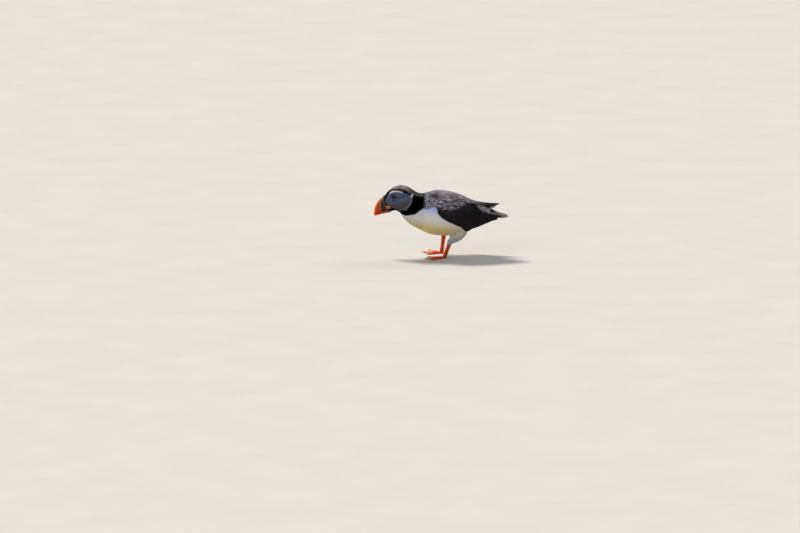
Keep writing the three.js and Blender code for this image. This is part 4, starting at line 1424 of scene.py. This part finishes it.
def make_wing(key, side, finish):
    """Primaries lowest, then secondaries from the wing's corner to the back, then the rows of coverts."""
    field = wing_field(key, side)
    feathers = Feathers(WING_STRIPS)
    droop = field.edges(98 * MM)[0] - 75.4 * MM
    # Outermost primary first: it is the lowest and the longest. The outer primaries' ends carry the most
    # painted highlight.
    for i, s in enumerate(even_shares(WING_ROWS["primaries"])):
        tip = np.array([133.6 - 36 * s ** 1.15, 84.2 + 11.0 * s ** 0.62]) * MM + np.array([0, droop])
        path = aimed(tip, 4 + 9 * s, (70 - 22 * s) * MM, sag=0.03)
        feathers.vane(field, path, (9.5 + 2 * s) * MM, (-1.9 * MM, -1.1 * MM + 0.05 * i * MM), pointed=True,
                      pale=(0.5 - 0.35 * s, 0.7), rim=0.2)
    # Secondaries: their tips run from the wing's lower corner along its rear edge.
    for s in even_shares(WING_ROWS["secondaries"]):
        y = (46.5 + 65 * s) * MM
        tip = (y, field.edges(y)[0] + 0.5 * MM)
        path = aimed(tip, 76 - 60 * s ** 0.55, (30 + 16 * s) * MM, sag=0.05)
        feathers.vane(field, path, (10 + 2 * s) * MM, (-1.2 * MM, -0.35 * MM), rim=0.75)
    # Feathers along the front lower edge, from the bend of the wing to its corner.
    for s in even_shares(WING_ROWS["front_edge"]):
        y = (2 + 46 * s) * MM
        tip = (y, field.edges(y)[0] + 1.5 * MM)
        path = aimed(tip, 44 - 10 * s, (14 + 14 * s) * MM, sag=0.04)
        feathers.vane(field, path, (7 + 5 * s) * MM, (-0.75 * MM, -0.1 * MM), rim=0.04)
    # Greater coverts over the roots of the secondaries.
    for s in even_shares(WING_ROWS["greater_coverts"]):
        tip = np.array([20 + 66 * s, 76.5 + 3 * math.sin(math.pi * s) + 16 * s ** 2]) * MM
        path = aimed(tip, 38 - 16 * s, 17 * MM, sag=0.04)
        feathers.vane(field, path, 9 * MM, (-0.45 * MM, 0.0), rim=0.04)
    # Inner secondaries and longest scapulars: round tips with a painted highlight, which close the wing along
    # the back.
    for i, s in enumerate(even_shares(WING_ROWS["inner"])):
        tip = np.array([97.5 - 14 * s, 95 + 8.5 * s]) * MM + np.array([0, droop * 0.6])
        path = aimed(tip, 17 + 6 * s, (34 - 6 * s) * MM, sag=0.05)
        feathers.vane(field, path, 9.5 * MM, (-0.7 * MM, -0.05 * MM + 0.03 * i * MM), pale=(0.4, 0.42),
                      rim=0.1)
    wing = feathers.piece("flight_feathers_" + key)
    finish_piece(wing, finish, "dark_plumage", f"wing_{key}_secondaries", f"wing_{key}_primaries")


def make_tail(finish):
    """Twelve tail feathers in a narrow fan, the middle pair on top, with coverts over their roots."""
    tree = surface_tree(["tail"])[0]
    low, high = (np.array(corner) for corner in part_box("tail"))
    field = Field(tree, across=(0, 1, 0), along=(1, 0, 0), out=(0, 0, 1),
                  low=(70 * MM, -22 * MM), high=(120 * MM, 22 * MM), step=1.5 * MM)
    feathers = Feathers(TAIL_STRIPS)
    for pair in range(TAIL_PAIRS):
        for side in (-1, 1):
            spread = side * (pair + 0.5) / TAIL_PAIRS
            tip = np.array([high[1] - 0.4 * MM - 8 * MM * abs(spread) ** 1.6, spread * 12.2 * MM])
            quill = np.array([low[1] - 14 * MM, spread * 6.5 * MM])
            lift = -0.2 * MM - 0.13 * MM * pair
            tuck = 0.1 * MM * side
            feathers.vane(field, (quill, (quill + tip) / 2, tip), 7.4 * MM, (lift + tuck, lift - tuck))
    for spread in TAIL_COVERTS:
        tip = np.array([(97 - 5 * abs(spread)) * MM, spread * 8.5 * MM])
        quill = tip + np.array([-17 * MM, -spread * 2.0 * MM])
        feathers.vane(field, (quill, (quill + tip) / 2, tip), 6.5 * MM, (0.1 * MM, 0.1 * MM), rise=-0.2 * MM)
    finish_piece(feathers.piece("tail_feathers"), finish, "dark_plumage", "tail")


# ---- bill ------------------------------------------------------------------------------------------------

def tucked_up(points):
    """The rear end of the lower mandible, drawn in and up against the chin."""
    y, z = points[:, 1] / MM, points[:, 2] / MM
    share = smoothstep(-105, -97.5, y) * smoothstep(96, 90, z)
    drawn = points.copy()
    drawn[:, 0] *= 1 - 0.35 * share
    drawn[:, 2] += 2.4 * MM * share
    return drawn


def horn_plate(node, finish, slot, relief, base_plates):
    """One of the bill's plates, with curved grooves of some relief and what its finish marks on it."""
    surface = Surface(fused(node + "_horn", [node], 0.5 * MM, smoothing=4, swell=0.08 * MM))
    points, normals = surface.points(), surface.normals()
    y, z = points[:, 1] / MM, points[:, 2] / MM
    radius = np.hypot(y - BILL_ARC_MM["y"], z - BILL_ARC_MM["z"])
    flank = smoothstep(0.3, 0.85, np.abs(normals[:, 0]))
    groove = sum(np.exp(-((radius - ring) / 0.5) ** 2) for ring in BILL_GROOVES_MM) * flank
    rise = -relief * groove
    if node == "bill_cere":
        rise = np.array([noise.noise(Vector(p) * 900) for p in points]) * 0.14
    points += normals * rise[:, None] * MM
    if node in ("bill_lower_base", "bill_cere"):
        points = tucked_up(points)
    surface.move(points)
    below = np.interp(y, *curve_through(KEEL_LINE_MM).T) - z
    keel = smoothstep(-0.4, 0.4, below) * smoothstep(-102, -104.5, y)
    surface.store("keel", keel * (node in ("bill_lower_base", "bill_cere")))
    surface.store("groove", groove * (relief > 0))
    surface.store("low", smoothstep(101, 92, z))
    # The ridge of the upper plate is its outer edge in side view; it is painted yellower, as a highlight.
    angle = np.arctan2(z - BILL_ARC_MM["z"], y - BILL_ARC_MM["y"])
    bins = np.round(angle / 0.03).astype(int)
    outermost = np.array([radius[bins == b].max() for b in np.unique(bins)])
    edge = outermost[np.searchsorted(np.unique(bins), bins)] - radius
    ridge = surface.averaged(smoothstep(4.6, 0.8, edge), 6) * smoothstep(84, 90, z)
    surface.store("ridge", ridge * (node == "bill_upper_sheath"))
    away = np.array([base_plates.find_nearest(Vector(p))[3] for p in points]) / MM
    surface.store("outer", smoothstep(0.9, 1.4, away) * (node == "bill_cere"))
    finish_piece(show(surface.mesh.name, surface.mesh), finish, slot, node)


def make_bill(tissue):
    """The bill's five horn plates, and the dark tissue that shows only in the joints between them."""
    red, slate, cream = red_horn(), slate_horn(), cream_horn()
    base_plates = surface_tree(["bill_upper_base", "bill_lower_base"])[0]
    for node, finish, slot, relief in (
        ("bill_upper_sheath", red, "bill_red", 0.42),
        ("bill_lower_sheath", red, "bill_red", 0.25),
        ("bill_upper_base", slate, "bill_slate", 0.0),
        ("bill_lower_base", slate, "bill_slate", 0.0),
        ("bill_cere", cream, "bill_cream", 0.0),
    ):
        horn_plate(node, finish, slot, relief, base_plates)
    nodes = [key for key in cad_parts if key.startswith("bill_")]
    core = Surface(fused("bill_core", nodes, 0.7 * MM, smoothing=6, swell=0.45 * MM))
    core.move(tucked_up(core.points() - core.normals() * 1.25 * MM))
    finish_piece(show("bill_core", core.mesh), tissue, "bill_slate")


def make_rosettes(finish):
    """The wrinkled skin at each corner of the mouth, creased along the line where it closes."""
    for key, side in SIDES.items():
        low, high = (np.array(corner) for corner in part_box("rosette_" + key))
        middle, half = (low + high) / 2, (high - low) / 2
        backwards = np.array([0.8 * side, 1.0, 0]) * MM
        bm = bmesh.new()
        bmesh.ops.create_uvsphere(bm, u_segments=72, v_segments=40, radius=1)
        folds = bm.verts.layers.float.new("fold")
        for v in bm.verts:
            x, y, z = v.co
            angle = math.atan2(z, y)
            reach = math.hypot(y, z)
            wave = math.cos(8 * angle + 2.2 * noise.noise(Vector((y, z, side)) * 2.5))
            crease = math.exp(-((z + 0.12 * y) / 0.13) ** 2) * (side * x > 0)
            v[folds] = 1 - (0.5 + 0.5 * wave) * (1 - 0.7 * crease)
            swell = 1 + 0.09 * wave * reach ** 1.5 - 0.2 * crease
            stretch = np.array([1.04, 1.3, 1.04]) * swell
            v.co = Vector(middle + backwards) + Vector(half * stretch * np.array([x, y, z]))
        finish_piece(from_bmesh("gape_rosette_" + key, bm), finish, "rosette", "rosette_" + key)


# ---- eyes ------------------------------------------------------------------------------------------------

def raised_pad(name, outline, place, height):
    """A closed pad: domed inside its outline, with its edge and underside sunk in the surface under it."""
    middle = outline.mean(axis=0)
    bm = bmesh.new()
    rings = []
    for share, lift in ((1.0, -0.35), (1.0, 0.1), (0.93, 0.62), (0.75, 0.92), (0.4, 1.0)):
        points = middle + (outline - middle) * share
        rings.append([bm.verts.new(place(a, b, lift * height)) for a, b in points])
    for inner, outer in zip(rings[1:], rings[:-1]):
        for i in range(len(outline)):
            j = (i + 1) % len(outline)
            bm.faces.new((outer[i], outer[j], inner[j], inner[i]))
    bm.faces.new(reversed(rings[0]))
    bm.faces.new(rings[-1])
    bmesh.ops.triangulate(bm, faces=[f for f in bm.faces if len(f.verts) > 4])
    bmesh.ops.recalc_face_normals(bm, faces=bm.faces)
    return from_bmesh(name, bm)


def eyeball(key, middle, gaze, gloss):
    """A wet ball with a slightly bulging cornea where it looks."""
    bm = bmesh.new()
    bmesh.ops.create_uvsphere(bm, u_segments=64, v_segments=48, radius=1)
    off_gaze = bm.verts.layers.float.new("gaze")
    for v in bm.verts:
        v[off_gaze] = v.co.angle(gaze)
        cornea = 0.055 * max(0.0, 1 - (v[off_gaze] / 0.8) ** 2)
        v.co = middle + v.co * EYE_MM["radius"] * MM * (1 + cornea)
    finish_piece(from_bmesh("eyeball_" + key, bm), gloss, "eye", "eye_" + key)


def lid_ring(key, middle, gaze, finish):
    """The beaded ring of bare lid round an eye, drawn out a little in front and behind."""
    up = (Vector((0, 0, 1)) - gaze * gaze.z).normalized()
    ahead = gaze.cross(up)
    bm = bmesh.new()
    turns, sections, rings = 64, 12, []
    for i in range(turns):
        a = math.tau * i / turns
        spread = math.radians(47 + 4.5 * abs(math.cos(a)) ** 6)
        outwards = ahead * math.cos(a) + up * math.sin(a)
        aside = gaze * math.cos(spread) + outwards * math.sin(spread)
        centre = middle + aside * EYE_MM["radius"] * MM * 1.03
        bead = 0.55 * MM * (1 + 0.12 * math.cos(24 * a))
        rings.append([bm.verts.new(centre + (gaze * math.cos(t) + outwards * math.sin(t)) * bead)
                      for t in np.linspace(0, math.tau, sections, endpoint=False)])
    for i in range(turns):
        for j in range(sections):
            k, m = (i + 1) % turns, (j + 1) % sections
            bm.faces.new((rings[i][j], rings[k][j], rings[k][m], rings[i][m]))
    bmesh.ops.recalc_face_normals(bm, faces=bm.faces)
    finish_piece(from_bmesh("eyelid_ring_" + key, bm), finish, "eye")


def eye_plates(key, side, tree, finish):
    """The pointed horn plate over an eye and the bar under it, both on the skin of the face."""
    def on_face(y, z, lift):
        start = Vector((side * 60 * MM, y, z))
        hit = tree.ray_cast(start, Vector((-side, 0, 0)))[0]
        return hit + Vector((side * lift, 0, 0))

    centre = np.array([EYE_MM["y"], EYE_MM["z"]])
    for name, corners in EYE_PLATES_MM.items():
        outline = (curve_through(corners, closed=True, steps=4) + centre) * MM
        pad = raised_pad(f"eye_plate_{name}_{key}", outline, on_face, EYE_PLATE_HEIGHT_MM * MM)
        finish_piece(pad, finish, "eye")


def make_eyes(skin, plate):
    """Each eye: a wet ball in its ring of bare lid, with horn plates over and under it."""
    gloss, ring_skin = eye_gloss(), lid_skin()
    tree = BVHTree.FromObject(skin, bpy.context.evaluated_depsgraph_get())
    for key, side in SIDES.items():
        low, high = (Vector(corner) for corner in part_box("eye_" + key))
        gaze = Vector((side * GAZE[0], *GAZE[1:])).normalized()
        eyeball(key, (low + high) / 2, gaze, gloss)
        lid_ring(key, (low + high) / 2, gaze, ring_skin)
        eye_plates(key, side, tree, plate)


# ---- legs and feet ---------------------------------------------------------------------------------------

def make_shank(key, leather):
    """A bare shank with scutes down its front and a darker ankle."""
    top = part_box("tarsus_" + key)[1][2] / MM
    shank = Surface(fused("shank_" + key, ["tarsus_" + key], 0.55 * MM, smoothing=5, swell=0.1 * MM))
    points, normals = shank.points(), shank.normals()
    z = points[:, 2] / MM
    front = smoothstep(0.1, 0.6, -normals[:, 1])
    scute = np.abs(np.sin(math.pi * z / 1.9)) ** 0.5 - 0.7
    shank.move(points + normals * (0.22 * scute * front)[:, None] * MM)
    ankle = smoothstep(top - 9, top - 1, z)
    shank.store("joint", np.maximum(ankle, smoothstep(6.5, 3.0, z) * 0.5))
    shank.store("web", np.zeros(shank.count))
    shank.store("shaded", smoothstep(-0.2, 0.5, normals[:, 1]) * (1.0 if key == "left" else 0.3))
    finish_piece(show(shank.mesh.name, shank.mesh), leather, "leg_skin", "tarsus_" + key)


def make_foot(key, leather):
    """Three scaly toes that meet under the shank and are joined by crinkled web."""
    low, high = (np.array(corner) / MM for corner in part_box("tarsus_" + key))
    knuckle = np.array([(low[0] + high[0]) / 2, low[1] + 2.9])
    foot = Surface(fused("webbed_foot_" + key, ["foot_" + key], 0.55 * MM, smoothing=4, swell=0.1 * MM))
    points, normals = foot.points(), foot.normals()
    plan = points[:, :2] / MM
    away, reach = np.full(foot.count, 99.0), np.zeros(foot.count)
    for toe in TOES:
        low, high = (np.array(corner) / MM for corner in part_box(f"claw_{key}_{toe}"))
        tip = ((low + high) / 2)[:2] + np.array([0, 2.5])
        gap, _, share = nearest_on_line(plan, np.array([knuckle, tip]))
        closer = gap < away
        away[closer] = gap[closer]
        reach[closer] = share[closer] * np.linalg.norm(tip - knuckle)
    upper = smoothstep(0.2, 0.6, normals[:, 2])
    on_toe = smoothstep(2.3, 1.2, away)
    scute = np.abs(np.sin(math.pi * reach / 2.1)) ** 0.5 - 0.7
    web = smoothstep(1.9, 3.2, away) * smoothstep(2, 5, reach)
    spread = np.arctan2(plan[:, 0] - knuckle[0], knuckle[1] - plan[:, 1])
    crinkle = np.sin(spread * 46 + 1.5 * np.sin(reach * 0.8)) * web
    foot.move(points + normals * ((0.2 * scute * on_toe + 0.07 * crinkle) * upper)[:, None] * MM)
    settled = foot.points()
    settled[:, 2] = np.maximum(settled[:, 2], 0)
    foot.move(settled)
    foot.store("web", web)
    knuckles = sum(np.exp(-((reach - place) / 1.3) ** 2) for place in (11.5, 20.5))
    foot.store("joint", np.clip(knuckles * on_toe * 0.5 + 0.35 * smoothstep(6, 2, reach), 0, 1))
    finish_piece(show(foot.mesh.name, foot.mesh), leather, "leg_skin", "foot_" + key)


def make_claws(key, finish):
    """One curved claw at the end of each toe."""
    for toe in TOES:
        node = f"claw_{key}_{toe}"
        claw = show(f"claw_horn_{key}_{toe}",
                    fused(node + "_horn", [node], 0.28 * MM, smoothing=3, swell=0.06 * MM))
        finish_piece(claw, finish, "claw", node)


# ---- build -----------------------------------------------------------------------------------------------

set_stage()
skin_surface, part_share, face_distance = make_skin()
feathered = make_coat(skin_surface, part_share, face_distance)
flight = flight_feather()
for side_name, side_sign in SIDES.items():
    make_wing(side_name, side_sign, flight)
make_tail(flight)
dark_plate = lid_horn()
make_bill(dark_plate)
make_rosettes(gape_skin())
make_eyes(feathered, dark_plate)
foot_leather, claw_black = leg_leather(), claw_horn()
for side_name in SIDES:
    make_shank(side_name, foot_leather)
    make_foot(side_name, foot_leather)
    make_claws(side_name, claw_black)
